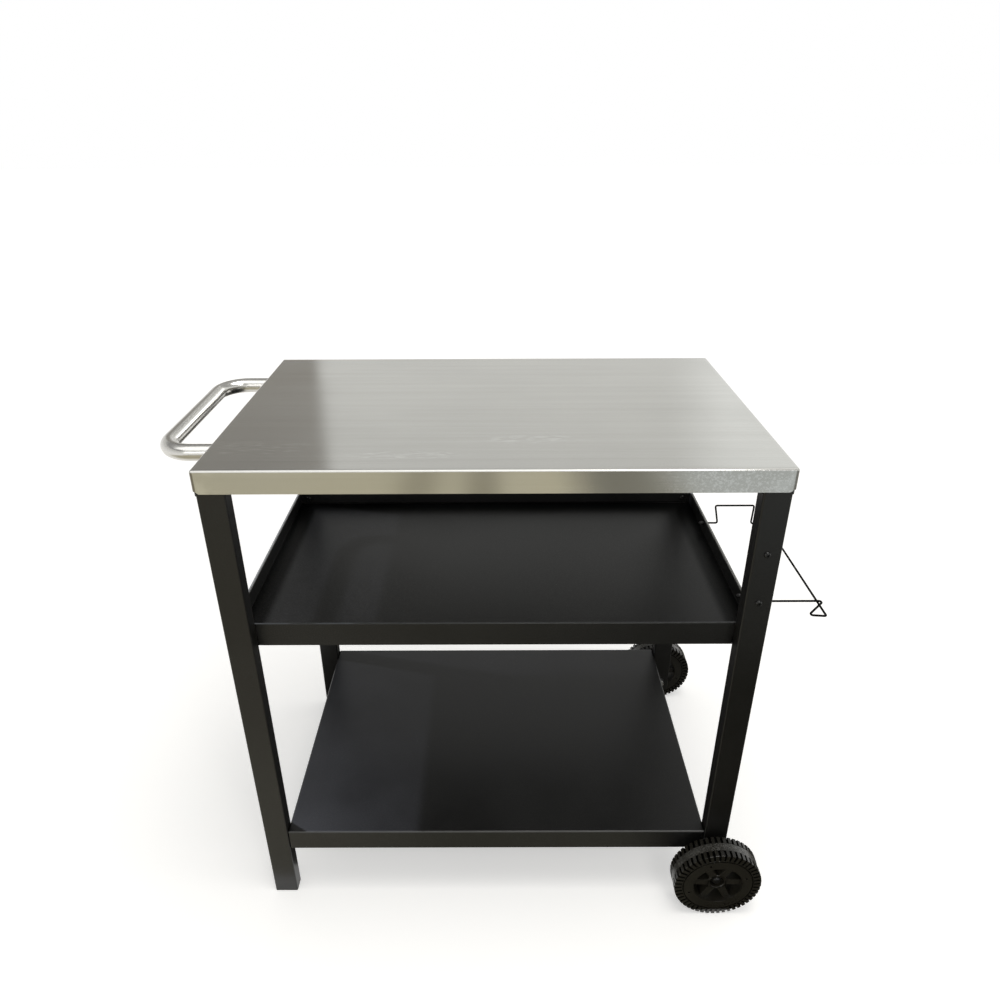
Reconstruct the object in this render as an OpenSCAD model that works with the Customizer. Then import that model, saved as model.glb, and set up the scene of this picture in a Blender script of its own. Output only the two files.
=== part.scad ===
// Grill prep cart: stainless top with a tube handle, a tray and a lower shelf on four tube legs,
// two plain wheels at the right-hand legs and a wire bag holder on the tray's right wall.
// The frame is centred under the whole cart, +X towards the wheels, +Y to the back, +Z up.

/* [Overall] */
// Height of the work surface above the floor
table_h = 848; // [700:1:1000]
// Length of the tabletop, handle end to wheel end
table_l = 813; // [600:1:1200]
// Depth of the tabletop, front to back
table_w = 512; // [400:1:800]

/* [Tabletop] */
// Height of the skirt folded down all round
skirt_h = 35; // [28:1:60]
// Thickness of the stainless sheet
top_sheet = 1; // [0.8:0.1:1.6]
// Outer radius of the top's folded edges and corners
fold_r = 3; // [2.5:0.1:5]
// Width of the lip folded inwards along the skirt's lower edge
lip_w = 12; // [6:1:20]

/* [Stiffeners] */
// Depth of the hat channels under the top
hat_h = 18; // [10:1:24]
// Width of a channel's closed face
hat_w = 40; // [30:1:60]
// Width of each glued flange
hat_flange = 12; // [8:1:20]
// Distance between the two channels
hat_spacing = 220; // [150:1:300]

/* [Legs] */
// Width of a leg along the cart's length
leg_x = 40; // [30:1:50]
// Depth of a leg, front to back
leg_y = 25; // [20:1:40]
// Wall of the leg tube
leg_wall = 1.5; // [1.2:0.1:3]
// Outer corner radius of the leg tube
leg_r = 2.5; // [2:0.1:5]
// Height of the short right legs' lower end above the floor
short_leg_z = 61; // [50:1:64]

/* [Leg sockets] */
// Sheet of the sleeve that holds a leg's top end
socket_t = 1.2; // [1:0.1:2]
// Thickness of the socket's plate against the top
plate_t = 2; // [2:0.1:4]
// How far the sleeve shows below the skirt
socket_drop = 3.5; // [1:0.5:10]
// How far the plate reaches inwards past the sleeve
plate_reach = 20; // [15:1:30]
// Gap between sleeve and leg on each side
socket_gap = 0.2; // [0.1:0.05:0.5]

/* [Feet] */
// Thickness of the foot cap under a long leg
foot_t = 4; // [3:0.5:8]
// Thickness of the end plug under a short leg
plug_t = 2; // [1.5:0.5:4]
// Depth of cap and plug inside the tube
plug_in = 6; // [4:1:8]

/* [Handle] */
// Diameter of the handle tube
handle_d = 25.4; // [22:0.1:30]
// Wall of the handle tube
handle_wall = 1.5; // [1:0.1:2.5]
// Distance between the two arms, centre to centre
handle_span = 306; // [200:1:360]
// Distance from the skirt to the centre of the grip
handle_reach = 81; // [65:1:110]
// Bend radius of the tube's centre line
handle_bend = 45; // [35:1:60]
// Length of the threaded insert in each tube end
insert_l = 20; // [14:1:26]

/* [Tray] */
// Height of the tray's rim above the floor
tray_rim_z = 579; // [450:1:650]
// Height of the tray's outer wall
tray_wall_h = 40; // [34:1:60]
// Depth of the tray, rim to floor
tray_deep = 28; // [22:1:32]
// Width of the folded double rim
rim_w = 3.6; // [3:0.1:6]
// Sheet of tray and lower shelf
pan_sheet = 1; // [0.8:0.1:1.5]
// How far the tray's ends stay inside the legs' outer faces
tray_inset = 2; // [0.5:0.5:6]
// Outer corner radius of the tray
tray_r = 5; // [4:0.5:10]

/* [Lower shelf] */
// Height of the lower shelf above the floor
shelf_z = 152; // [125:1:300]
// Height of the flange folded down round the shelf
shelf_flange = 40; // [30:1:50]
// How far the shelf's long edges stay behind the tabletop's
shelf_setback = 3.5; // [2:0.5:20]
// Outer radius of the shelf's folded edges and corners
shelf_r = 3; // [2:0.1:6]
// Width of the lip folded inwards under the shelf
shelf_lip = 10; // [6:1:20]

/* [Fasteners] */
// Diameter of the bolts in tray, shelf and sockets
bolt_d = 6; // [5:0.5:6]
// Diameter of their button heads
bolt_head_d = 10.5; // [9:0.1:12]
// Height of their button heads
bolt_head_h = 3.3; // [2:0.1:4]
// Diameter of a rivet nut's body in the leg wall
rivet_d = 8.9; // [8.5:0.1:10]
// Length of a rivet nut
rivet_l = 12; // [8:1:14]
// Diameter of the bolts that hold the handle
handle_bolt_d = 8; // [6:1:8]
// Height of the upper accessory screw above the floor
screw_top_z = 714; // [650:1:780]
// Distance between the two accessory screws
screw_pitch = 82; // [50:1:90]

/* [Wheels] */
// Diameter of the wheels
wheel_d = 150; // [140:1:180]
// Width of a wheel across the tread
wheel_w = 40; // [32:1:50]
// Space between a wheel's inner side and its leg
wheel_gap = 7.9; // [5:0.1:15]
// Number of tread lugs round each shoulder
lugs = 48; // [36:1:60]
// Width of one lugged shoulder
lug_w = 13; // [8:1:15]
// Depth of the grooves between lugs
lug_deep = 3; // [1:0.5:4]
// Depth of the radial grooves that carry on down the sidewalls
rib_deep = 1.5; // [0.5:0.1:2]
// Wall of the moulded wheel
wheel_wall = 3; // [2:0.5:4]
// Radius of the open well round the hub
well_r = 42; // [36:1:48]
// Radius of the ring groove in the disc
ring_r = 60; // [54:1:61]
// Diameter of the four small holes in the disc
disc_hole_d = 5; // [3:0.5:6]
// Turn of the four small holes from the level
disc_hole_turn = 20; // [0:1:45]
// Number of spokes
spokes = 6; // [4:1:8]
// Width of a spoke
spoke_w = 13; // [8:1:16]
// How far the spokes lie behind the wheel's faces
spoke_in = 7; // [3:1:12]
// Outer radius of the hub
hub_r = 17; // [15:1:20]
// Radius of the recess for the axle nut
recess_r = 13; // [11:0.5:14]
// How far the recess floor lies behind the wheel's outer face
recess_in = 18.5; // [14:0.5:20]

/* [Axles] */
// Diameter of an axle bolt
axle_d = 10; // [8:1:12]
// Running clearance round the axle bolt
axle_gap = 0.05; // [0.02:0.01:0.1]
// End play of a wheel on each side
end_play = 0.3; // [0.2:0.1:1]
// Outer diameter of the wheel's bush
bush_d = 16; // [14:0.5:18]
// Outer diameter of the axle washers
washer_d = 22; // [18:1:25]
// Thickness of the axle washers
washer_t = 2; // [1:0.5:2.5]
// Width of the axle nut and of the bolt's head across flats
axle_hex = 16; // [13:1:18]
// Height of the axle's cap nut up to its dome
axle_nut_h = 5; // [4:0.5:6]
// Height of the cap nut's dome
axle_dome_h = 4; // [2:0.5:5]
// Height of the axle bolt's head
axle_head_h = 6.4; // [5:0.1:8]

/* [Bag holder] */
// Diameter of the bag holder's wire
wire_d = 3.5; // [3:0.1:4]
// Bend radius of the wire's centre line
wire_bend = 3; // [2.5:0.5:3.5]
// Height of the wire above the tray's floor
wire_up = 17; // [10:1:18]
// Distance from the tray's wall to the outer bar
holder_reach = 115; // [90:1:160]
// Distance of the back arm behind the cart's centre line
back_arm_y = 106; // [80:1:150]
// Distance of the front arm before the cart's centre line
front_arm_y = 163; // [120:1:170]
// Sideways step of the front arm beside the wall
front_step = 15; // [8:1:20]
// Distance of the outer bar's front end before the centre line
bar_front_y = 197; // [185:1:205]
// Height of the upright clip in the back arm
clip_h = 32; // [20:1:45]
// Length of the upright clip along the arm
clip_l = 64; // [50:1:68]
// How much wider the clip is at its top, on each side
clip_flare = 5; // [0:0.5:8]
// How far the clip leans back
clip_lean = 10; // [0:1:15]
// How far the tie loop's corner, before it is rounded, lies past the outer bar
tie_reach = 7.5; // [5:0.5:12]
// Height of the crossing wire over the outer bar, centre to centre
tie_rise = 5; // [4.8:0.1:6]
// Width across flats of the holder's lock nuts
lock_hex = 7; // [6:0.5:8]
// Diameter of the holder's cap nuts
cap_nut_d = 7.5; // [6:0.5:9]
// Length of the holder's cap nuts
cap_nut_l = 9; // [6:1:10]

/* [Hidden] */
$fn = 48;
// Clearance round bolts, pins and inserts in their holes
fit = 0.1;
// Clearance between tray or shelf and the legs beside them
seat = 0.3;
// Extra length of a cutting shape past the face that it opens
cut = 1;
// Flat sides of the wire, and the largest turn between two of its rings
wire_sides = 12;
wire_step = 18;

half_l = table_l / 2;
half_w = table_w / 2;
top_under = table_h - top_sheet;
leg_inset = top_sheet + socket_t + socket_gap;
leg_cx = half_l - leg_inset - leg_x / 2;
leg_cy = half_w - leg_inset - leg_y / 2;
leg_top = table_h - max(fold_r, top_sheet + plate_t);
socket_low = table_h - skirt_h - socket_drop;
socket_bolt_z = (socket_low + leg_top) / 2;
handle_z = table_h - skirt_h / 2;
grip_x = half_l + handle_reach;

tray_l = table_l - 2 * (leg_inset + tray_inset);
tray_w = 2 * (leg_cy - leg_y / 2 - seat);
tray_low = tray_rim_z - tray_wall_h;
tray_floor = tray_rim_z - tray_deep;
tray_bolt_z = tray_floor + tray_deep / 2 - bolt_d / 3;
tray_end = tray_l / 2;

shelf_l = 2 * (leg_cx - leg_x / 2 - seat);
shelf_w = table_w - 2 * shelf_setback;
shelf_bolt_z = shelf_z - shelf_flange / 2;

wheel_r = wheel_d / 2;
axle_z = wheel_r;
leg_face = leg_cy + leg_y / 2;
wheel_in = leg_face + wheel_gap;
wheel_out = wheel_in + wheel_w;
hub_in = leg_face + washer_t + end_play;
recess_y = wheel_out - recess_in;
nut_y = recess_y + end_play + washer_t;
axle_back = leg_cy - leg_y / 2 - washer_t;

wire_z = tray_floor + wire_up;
wire_high = wire_z + tie_rise;
bar_x = tray_end + holder_reach;
clip_x = tray_end + 23;
clip_top = clip_x - clip_flare;
tie_x = bar_x - 26.5;
tie_y = bar_front_y - 3;
wire_in = tray_end - rim_w - 6;
tail_y = front_arm_y - front_step;
holder_ends = [[back_arm_y, wire_z], [-tail_y, wire_high]];

// The bag holder's corners, from its back end to its front end
holder_route = [
    [wire_in, back_arm_y, wire_z],
    [clip_x, back_arm_y, wire_z],
    [clip_top, back_arm_y + clip_lean, wire_z + clip_h],
    [clip_top + clip_l + 2 * clip_flare, back_arm_y + clip_lean, wire_z + clip_h],
    [clip_x + clip_l, back_arm_y, wire_z],
    [bar_x, back_arm_y - 31, wire_z],
    [bar_x, -bar_front_y, wire_z],
    [tie_x, -tie_y, wire_z],
    [bar_x + tie_reach, -front_arm_y, wire_high],
    [tray_end + 28, -front_arm_y, wire_high],
    [tray_end + 10, -tail_y, wire_high],
    [wire_in, -tail_y, wire_high]];

// The origin lies midway between the handle's grip and the tip of the bag holder
reach_left = grip_x + handle_d / 2;
reach_right = max([for (q = rounded(holder_route, wire_bend)) q[0][0]]) + wire_d / 2;
mid_x = (reach_right - reach_left) / 2;

steel = "silver";
black = "#2b2a28";
plastic = "#1d1c1a";
zinc = "lightgray";

function unit(v) = v / norm(v);

// Moves what is drawn about the tabletop's centre into the cart's own frame
module in_frame() {
    translate([-mid_x, 0, 0]) children();
}

// Rectangle about the origin with round corners
module round_rect(l, w, r) {
    square([l - 2 * r, w], center = true);
    square([l, w - 2 * r], center = true);
    for (x = [-1, 1], y = [-1, 1])
        translate([x * (l / 2 - r), y * (w / 2 - r)]) circle(r = r);
}

// Solid block whose upright corners and top edges are round
module pan_block(l, w, h, r) {
    linear_extrude(h - r) round_rect(l, w, r);
    translate([-(l / 2 - r), -(w / 2 - r), 0]) cube([l - 2 * r, w - 2 * r, h]);
    for (y = [-1, 1])
        translate([-(l / 2 - r), y * (w / 2 - r), h - r]) rotate([0, 90, 0]) cylinder(h = l - 2 * r, r = r);
    for (x = [-1, 1]) {
        translate([x * (l / 2 - r), w / 2 - r, h - r]) rotate([90, 0, 0]) cylinder(h = w - 2 * r, r = r);
        for (y = [-1, 1])
            translate([x * (l / 2 - r), y * (w / 2 - r), h - r]) sphere(r = r);
    }
}

// Sheet pan, open below, with its upper face at height h
module pan(l, w, h, r, t) {
    difference() {
        pan_block(l, w, h, r);
        translate([0, 0, -cut]) pan_block(l - 2 * t, w - 2 * t, h - t + cut, r - t);
    }
}

// Flat lips along the inside of a pan's lower edge, stopped short of the corners
module lips(l, w, t, width, stop_x, stop_y) {
    for (s = [-1, 1]) {
        translate([-(l / 2 - stop_x), s > 0 ? w / 2 - width : -w / 2, 0]) cube([l - 2 * stop_x, width, t]);
        translate([s > 0 ? l / 2 - width : -l / 2, -(w / 2 - stop_y), 0]) cube([width, w - 2 * stop_y, t]);
    }
}

module tabletop() {
    stop = fold_r + socket_t + 2;
    color(steel) in_frame() difference() {
        translate([0, 0, table_h - skirt_h]) {
            pan(table_l, table_w, skirt_h, fold_r, top_sheet);
            lips(table_l - top_sheet, table_w - top_sheet, top_sheet, lip_w,
                leg_x + leg_inset + stop, leg_y + leg_inset + stop);
        }
        for (y = [-1, 1])
            translate([-half_l - cut, y * handle_span / 2, handle_z])
                rotate([0, 90, 0]) cylinder(h = top_sheet + 2 * cut, d = handle_bolt_d + 2 * fit);
    }
}

// Hat channel along the cart, glued to the underside of the top by its two flanges
module top_stiffener(side) {
    length = 2 * (leg_cx - leg_x / 2 - plate_reach - 15);
    color(zinc) in_frame() translate([-length / 2, side * hat_spacing / 2, top_under]) {
        translate([0, -hat_w / 2, -hat_h]) cube([length, hat_w, top_sheet]);
        for (s = [-1, 1]) {
            translate([0, s > 0 ? hat_w / 2 - top_sheet : -hat_w / 2, -hat_h]) cube([length, top_sheet, hat_h]);
            translate([0, s > 0 ? hat_w / 2 - top_sheet : -hat_w / 2 - hat_flange + top_sheet, -top_sheet])
                cube([length, hat_flange, top_sheet]);
        }
    }
}
module top_stiffener_front() { top_stiffener(-1); }
module top_stiffener_rear() { top_stiffener(1); }

// Places a shape drawn about a leg's centre line, with +X and +Y pointing inwards
module at_leg(sx, sy) {
    in_frame() translate([sx * leg_cx, sy * leg_cy, 0]) scale_to_inside(sx, sy) children();
}
module scale_to_inside(sx, sy) {
    mirror([sx > 0 ? 1 : 0, 0, 0]) mirror([0, sy > 0 ? 1 : 0, 0]) children();
}

// Places a bolt drawn along +Z into a leg's inner face, towards the leg
module into_leg_side(z) {
    translate([leg_x / 2, 0, z]) rotate([0, -90, 0]) children();
}

// Places a bolt drawn along +Z into the leg face that looks at the tray, towards the leg
module into_leg_back(z) {
    translate([0, leg_y / 2, z]) rotate([90, 0, 0]) children();
}

// Places a screw drawn along +Z into the leg's outward face
module into_leg_front(z) {
    translate([0, -leg_y / 2, z]) rotate([-90, 0, 0]) children();
}

module leg_socket(sx, sy) {
    grow = 2 * (socket_gap + socket_t);
    keep = fold_r - top_sheet + 0.2;
    color(black) at_leg(sx, sy) difference() {
        union() {
            translate([0, 0, socket_low]) linear_extrude(leg_top - socket_low)
                round_rect(leg_x + grow, leg_y + grow, leg_r + socket_gap + socket_t);
            translate([-(leg_x + grow) / 2 + keep, -(leg_y + grow) / 2 + keep, leg_top])
                cube([leg_x + grow - keep + plate_reach, leg_y + grow - keep + plate_reach, top_under - leg_top]);
        }
        translate([0, 0, socket_low - cut]) linear_extrude(leg_top - socket_low + cut)
            round_rect(leg_x + 2 * socket_gap, leg_y + 2 * socket_gap, leg_r + socket_gap);
        into_leg_side(socket_bolt_z) translate([0, 0, -socket_t - 2 * cut])
            cylinder(h = socket_t + 3 * cut, d = bolt_d + 2 * fit);
    }
}
module leg_socket_front_left() { leg_socket(-1, -1); }
module leg_socket_rear_left() { leg_socket(-1, 1); }
module leg_socket_front_right() { leg_socket(1, -1); }
module leg_socket_rear_right() { leg_socket(1, 1); }

// Hole in a leg's wall for the body of a rivet nut
module rivet_hole() {
    translate([0, 0, -cut]) cylinder(h = leg_wall + 2 * cut, d = rivet_d + 2 * fit);
}

module leg(sx, sy) {
    low = sx > 0 ? short_leg_z : foot_t;
    color(black) at_leg(sx, sy) difference() {
        translate([0, 0, low]) linear_extrude(leg_top - low) round_rect(leg_x, leg_y, leg_r);
        translate([0, 0, low - cut]) linear_extrude(leg_top - low + 2 * cut)
            round_rect(leg_x - 2 * leg_wall, leg_y - 2 * leg_wall, leg_r - leg_wall);
        into_leg_side(socket_bolt_z) rivet_hole();
        into_leg_side(shelf_bolt_z) rivet_hole();
        into_leg_back(tray_bolt_z) rivet_hole();
        if (sx > 0)
            translate([0, leg_y, axle_z]) rotate([90, 0, 0]) cylinder(h = 2 * leg_y, d = axle_d + 4 * fit);
        if (sx > 0 && sy < 0)
            for (z = accessory_z) into_leg_front(z) rivet_hole();
    }
}
module leg_front_left() { leg(-1, -1); }
module leg_rear_left() { leg(-1, 1); }
module leg_front_right() { leg(1, -1); }
module leg_rear_right() { leg(1, 1); }
accessory_z = [screw_top_z, screw_top_z - screw_pitch];

// Moulded plug with a flange of the leg's outline, its flange's lower face at height z
module tube_plug(z, t) {
    room = 2 * (leg_wall + fit);
    translate([0, 0, z]) {
        linear_extrude(t) round_rect(leg_x, leg_y, leg_r);
        linear_extrude(t + plug_in) round_rect(leg_x - room, leg_y - room, leg_r - leg_wall);
    }
}
module foot_cap(sy) {
    color(plastic) at_leg(-1, sy) tube_plug(0, foot_t);
}
module foot_cap_front_left() { foot_cap(-1); }
module foot_cap_rear_left() { foot_cap(1); }
module leg_plug(sy) {
    color(plastic) at_leg(1, sy) tube_plug(short_leg_z - plug_t, plug_t);
}
module leg_plug_front_right() { leg_plug(-1); }
module leg_plug_rear_right() { leg_plug(1); }

// The handle's path as a solid rod, longer at both ends by extra
module handle_rod(d, extra) {
    straight = handle_span - 2 * handle_bend;
    arm = handle_reach - handle_bend;
    translate([-grip_x, straight / 2, handle_z]) rotate([90, 0, 0]) cylinder(h = straight, d = d);
    for (s = [-1, 1]) {
        translate([-grip_x + handle_bend, s * handle_span / 2, handle_z])
            rotate([0, 90, 0]) cylinder(h = arm + extra, d = d);
        translate([-grip_x + handle_bend, s * straight / 2, handle_z]) rotate([0, 0, s > 0 ? 90 : 180])
            rotate_extrude(angle = 90) translate([handle_bend, 0]) circle(d = d);
    }
}
module handle() {
    color(steel) in_frame() difference() {
        handle_rod(handle_d, 0);
        handle_rod(handle_d - 2 * handle_wall, cut);
    }
}

// Threaded plug pressed into one end of the handle's tube
module handle_insert(s) {
    color(zinc) in_frame() translate([-half_l, s * handle_span / 2, handle_z]) rotate([0, -90, 0]) difference() {
        cylinder(h = insert_l, d = handle_d - 2 * handle_wall - 2 * fit);
        translate([0, 0, -cut]) cylinder(h = insert_l + 2 * cut, d = handle_bolt_d + 2 * fit);
    }
}
module handle_insert_front() { handle_insert(-1); }
module handle_insert_rear() { handle_insert(1); }

// Hexagonal head or nut, across flats s and h high, along +Z
module hex(s, h) {
    cylinder(h = h, d = s / cos(30), $fn = 6);
}
module handle_bolts() {
    color(zinc) in_frame() for (y = [-1, 1])
        translate([-half_l + top_sheet, y * handle_span / 2, handle_z]) rotate([0, -90, 0]) {
            cylinder(h = top_sheet + insert_l - 2, d = handle_bolt_d);
            translate([0, 0, -handle_bolt_d * 0.65]) hex(handle_bolt_d * 1.625, handle_bolt_d * 0.65);
        }
}

module tray() {
    inner = 2 * rim_w;
    void_w = rim_w - 2 * pan_sheet;
    color(black) in_frame() difference() {
        translate([0, 0, tray_low]) linear_extrude(tray_wall_h) round_rect(tray_l, tray_w, tray_r);
        translate([0, 0, tray_low - cut]) linear_extrude(tray_floor - pan_sheet - tray_low + cut)
            round_rect(tray_l - 2 * pan_sheet, tray_w - 2 * pan_sheet, tray_r - pan_sheet);
        translate([0, 0, tray_floor]) linear_extrude(tray_deep + cut)
            round_rect(tray_l - inner, tray_w - inner, tray_r - rim_w);
        translate([0, 0, tray_floor - pan_sheet - cut]) linear_extrude(tray_deep + cut) difference() {
            round_rect(tray_l - 2 * pan_sheet, tray_w - 2 * pan_sheet, tray_r - pan_sheet);
            round_rect(tray_l - 2 * (pan_sheet + void_w), tray_w - 2 * (pan_sheet + void_w),
                max(tray_r - pan_sheet - void_w, 0.5));
        }
        for (x = [-1, 1], y = [-1, 1])
            translate([x * leg_cx, y * tray_w / 2, tray_bolt_z]) rotate([90, 0, 0])
                cylinder(h = 2 * (rim_w + cut), d = bolt_d + 2 * fit, center = true);
        for (end = holder_ends)
            translate([tray_end - rim_w - cut, end[0], end[1]]) rotate([0, 90, 0])
                cylinder(h = rim_w + 2 * cut, d = wire_d + 4 * fit);
    }
}

module lower_shelf() {
    color(black) in_frame() difference() {
        translate([0, 0, shelf_z - shelf_flange]) {
            pan(shelf_l, shelf_w, shelf_flange, shelf_r, pan_sheet);
            lips(shelf_l - pan_sheet, shelf_w - pan_sheet, pan_sheet, shelf_lip,
                shelf_lip + shelf_r, shelf_lip + shelf_r);
        }
        for (x = [-1, 1], y = [-1, 1])
            translate([x * shelf_l / 2, y * leg_cy, shelf_bolt_z]) rotate([0, 90, 0])
                cylinder(h = 2 * (pan_sheet + cut), d = bolt_d + 2 * fit, center = true);
    }
}

// Button-head bolt along +Z with its head's seat at the origin
module button_bolt(length) {
    difference() {
        union() {
            cylinder(h = length, d = bolt_d);
            translate([0, 0, -bolt_head_h]) cylinder(h = bolt_head_h, d1 = bolt_head_d * 0.62, d2 = bolt_head_d);
        }
        translate([0, 0, -bolt_head_h - cut]) hex(bolt_d * 0.66, bolt_head_h * 0.6 + cut);
    }
}
module tray_bolts() {
    color(black) for (sx = [-1, 1], sy = [-1, 1])
        at_leg(sx, sy) into_leg_back(tray_bolt_z) translate([0, 0, -seat - rim_w]) button_bolt(rim_w + seat + 10);
}
module shelf_bolts() {
    color(black) for (sx = [-1, 1], sy = [-1, 1])
        at_leg(sx, sy) into_leg_side(shelf_bolt_z) translate([0, 0, -seat - pan_sheet])
            button_bolt(pan_sheet + seat + 10);
}
module socket_bolts() {
    color(black) for (sx = [-1, 1], sy = [-1, 1])
        at_leg(sx, sy) into_leg_side(socket_bolt_z) translate([0, 0, -socket_gap - socket_t])
            button_bolt(socket_t + socket_gap + 10);
}
module accessory_screws() {
    color(plastic) at_leg(1, -1) for (z = accessory_z) into_leg_front(z) button_bolt(10);
}

// Threaded sleeve set flush in a leg's wall
module rivet_nut() {
    difference() {
        cylinder(h = rivet_l, d = rivet_d);
        translate([0, 0, -cut]) cylinder(h = rivet_l + 2 * cut, d = bolt_d + 2 * fit);
    }
}
module rivet_nuts() {
    color(zinc) {
        for (sx = [-1, 1], sy = [-1, 1]) at_leg(sx, sy) {
            into_leg_side(socket_bolt_z) rivet_nut();
            into_leg_side(shelf_bolt_z) rivet_nut();
            into_leg_back(tray_bolt_z) rivet_nut();
        }
        at_leg(1, -1) for (z = accessory_z) into_leg_front(z) rivet_nut();
    }
}

// Centre line through the points p as [place, direction] pairs, with each inner point rounded to radius r
function rounded(p, r) =
    let (last = len(p) - 1)
    let (dir = [for (i = [0 : last - 1]) unit(p[i + 1] - p[i])])
    [for (i = [0 : last])
        let (bend = i == 0 || i == last ? 0 : acos(dir[i - 1] * dir[i]))
        let (steps = ceil(bend / wire_step))
        let (from = i == 0 ? dir[0] : dir[i - 1])
        let (side = bend == 0 ? from : unit(cross(cross(from, dir[i]), from)))
        let (start = p[i] - from * r * tan(bend / 2))
        for (k = [0 : steps])
            let (a = steps == 0 ? 0 : bend * k / steps)
            [start + from * r * sin(a) + side * r * (1 - cos(a)), from * cos(a) + side * sin(a)]];

// Carries the cross direction u along the line, kept square to it
function carried(line, i, u) =
    i == len(line) ? []
    : let (w = unit(u - line[i][1] * (u * line[i][1]))) concat([w], carried(line, i + 1, w));

// Round wire of diameter d swept along the points p
module wire(p, r, d) {
    line = rounded(p, r);
    across = carried(line, 0, [0, 0, 1]);
    n = wire_sides;
    rings = [for (i = [0 : len(line) - 1], j = [0 : n - 1])
        let (a = j * 360 / n)
        line[i][0] + d / 2 * (across[i] * cos(a) + cross(line[i][1], across[i]) * sin(a))];
    sides = [for (i = [0 : len(line) - 2], j = [0 : n - 1], half = [0, 1])
        let (a = i * n + j)
        let (b = i * n + (j + 1) % n)
        half == 0 ? [a, b + n, b] : [a, a + n, b + n]];
    ends = [[for (j = [0 : n - 1]) j], [for (j = [0 : n - 1]) len(line) * n - 1 - j]];
    polyhedron(points = rings, faces = concat(sides, ends), convexity = 8);
}

// One wire: back arm with its upright clip, outer bar, tie loop over the bar, front arm
module bag_holder() {
    color(plastic) in_frame() wire(holder_route, wire_bend, wire_d);
}
module bag_holder_cap_nuts() {
    color(plastic) in_frame() for (end = holder_ends)
        translate([tray_end - rim_w, end[0], end[1]]) rotate([0, -90, 0]) difference() {
            union() {
                cylinder(h = cap_nut_l - cap_nut_d / 4, d = cap_nut_d);
                translate([0, 0, cap_nut_l - cap_nut_d / 4])
                    cylinder(h = cap_nut_d / 4, d1 = cap_nut_d, d2 = cap_nut_d / 2);
            }
            translate([0, 0, -cut]) cylinder(h = 6 + fit + cut, d = wire_d + 2 * fit);
        }
}
module bag_holder_lock_nuts() {
    color(zinc) in_frame() for (end = holder_ends)
        translate([tray_end, end[0], end[1]]) rotate([0, 90, 0]) difference() {
            hex(lock_hex, 3.2);
            translate([0, 0, -cut]) cylinder(h = 3.2 + 2 * cut, d = wire_d + 2 * fit);
        }
}

// Places a shape drawn along +Z, pointing outwards, on the axle of the front or rear wheel
module at_axle(sy, y) {
    in_frame() translate([leg_cx, sy * y, axle_z]) rotate([sy > 0 ? -90 : 90, 0, 0]) children();
}

module axle_bolt(sy) {
    color(zinc) {
        at_axle(sy, axle_back) cylinder(h = nut_y + axle_nut_h - axle_back, d = axle_d);
        at_axle(sy, axle_back - axle_head_h) hex(axle_hex, axle_head_h);
    }
}
module axle_bolt_front() { axle_bolt(-1); }
module axle_bolt_rear() { axle_bolt(1); }

// Cap nut: hexagon below, round dome above, with a blind bore for the bolt
module axle_nut(sy) {
    low_r = axle_hex * 0.45;
    color(plastic) at_axle(sy, nut_y) difference() {
        union() {
            hex(axle_hex, axle_nut_h);
            translate([0, 0, axle_nut_h]) rotate_extrude() intersection() {
                translate([0, axle_dome_h - low_r]) circle(r = low_r);
                square([low_r, axle_dome_h]);
            }
        }
        translate([0, 0, -cut]) cylinder(h = axle_nut_h + fit + cut, d = axle_d + 2 * fit);
    }
}
module axle_nut_front() { axle_nut(-1); }
module axle_nut_rear() { axle_nut(1); }

// Three washers on each axle: under the bolt's head, between leg and hub, and under the nut
module axle_washers() {
    color(plastic) for (sy = [-1, 1], y = [axle_back, leg_face, nut_y - washer_t])
        at_axle(sy, y) difference() {
            cylinder(h = washer_t, d = washer_d);
            translate([0, 0, -cut]) cylinder(h = washer_t + 2 * cut, d = axle_d + 4 * fit);
        }
}

// Outline of a lugged shoulder: one flat-topped lug to each step round the rim
function lug_outline(r, deep) = [for (i = [0 : lugs - 1], k = [[-0.28, 0], [0.28, 0], [0.34, 1], [0.66, 1]])
    let (a = (i + k[0]) * 360 / lugs, q = r - deep * k[1]) [q * cos(a), q * sin(a)]];

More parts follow.
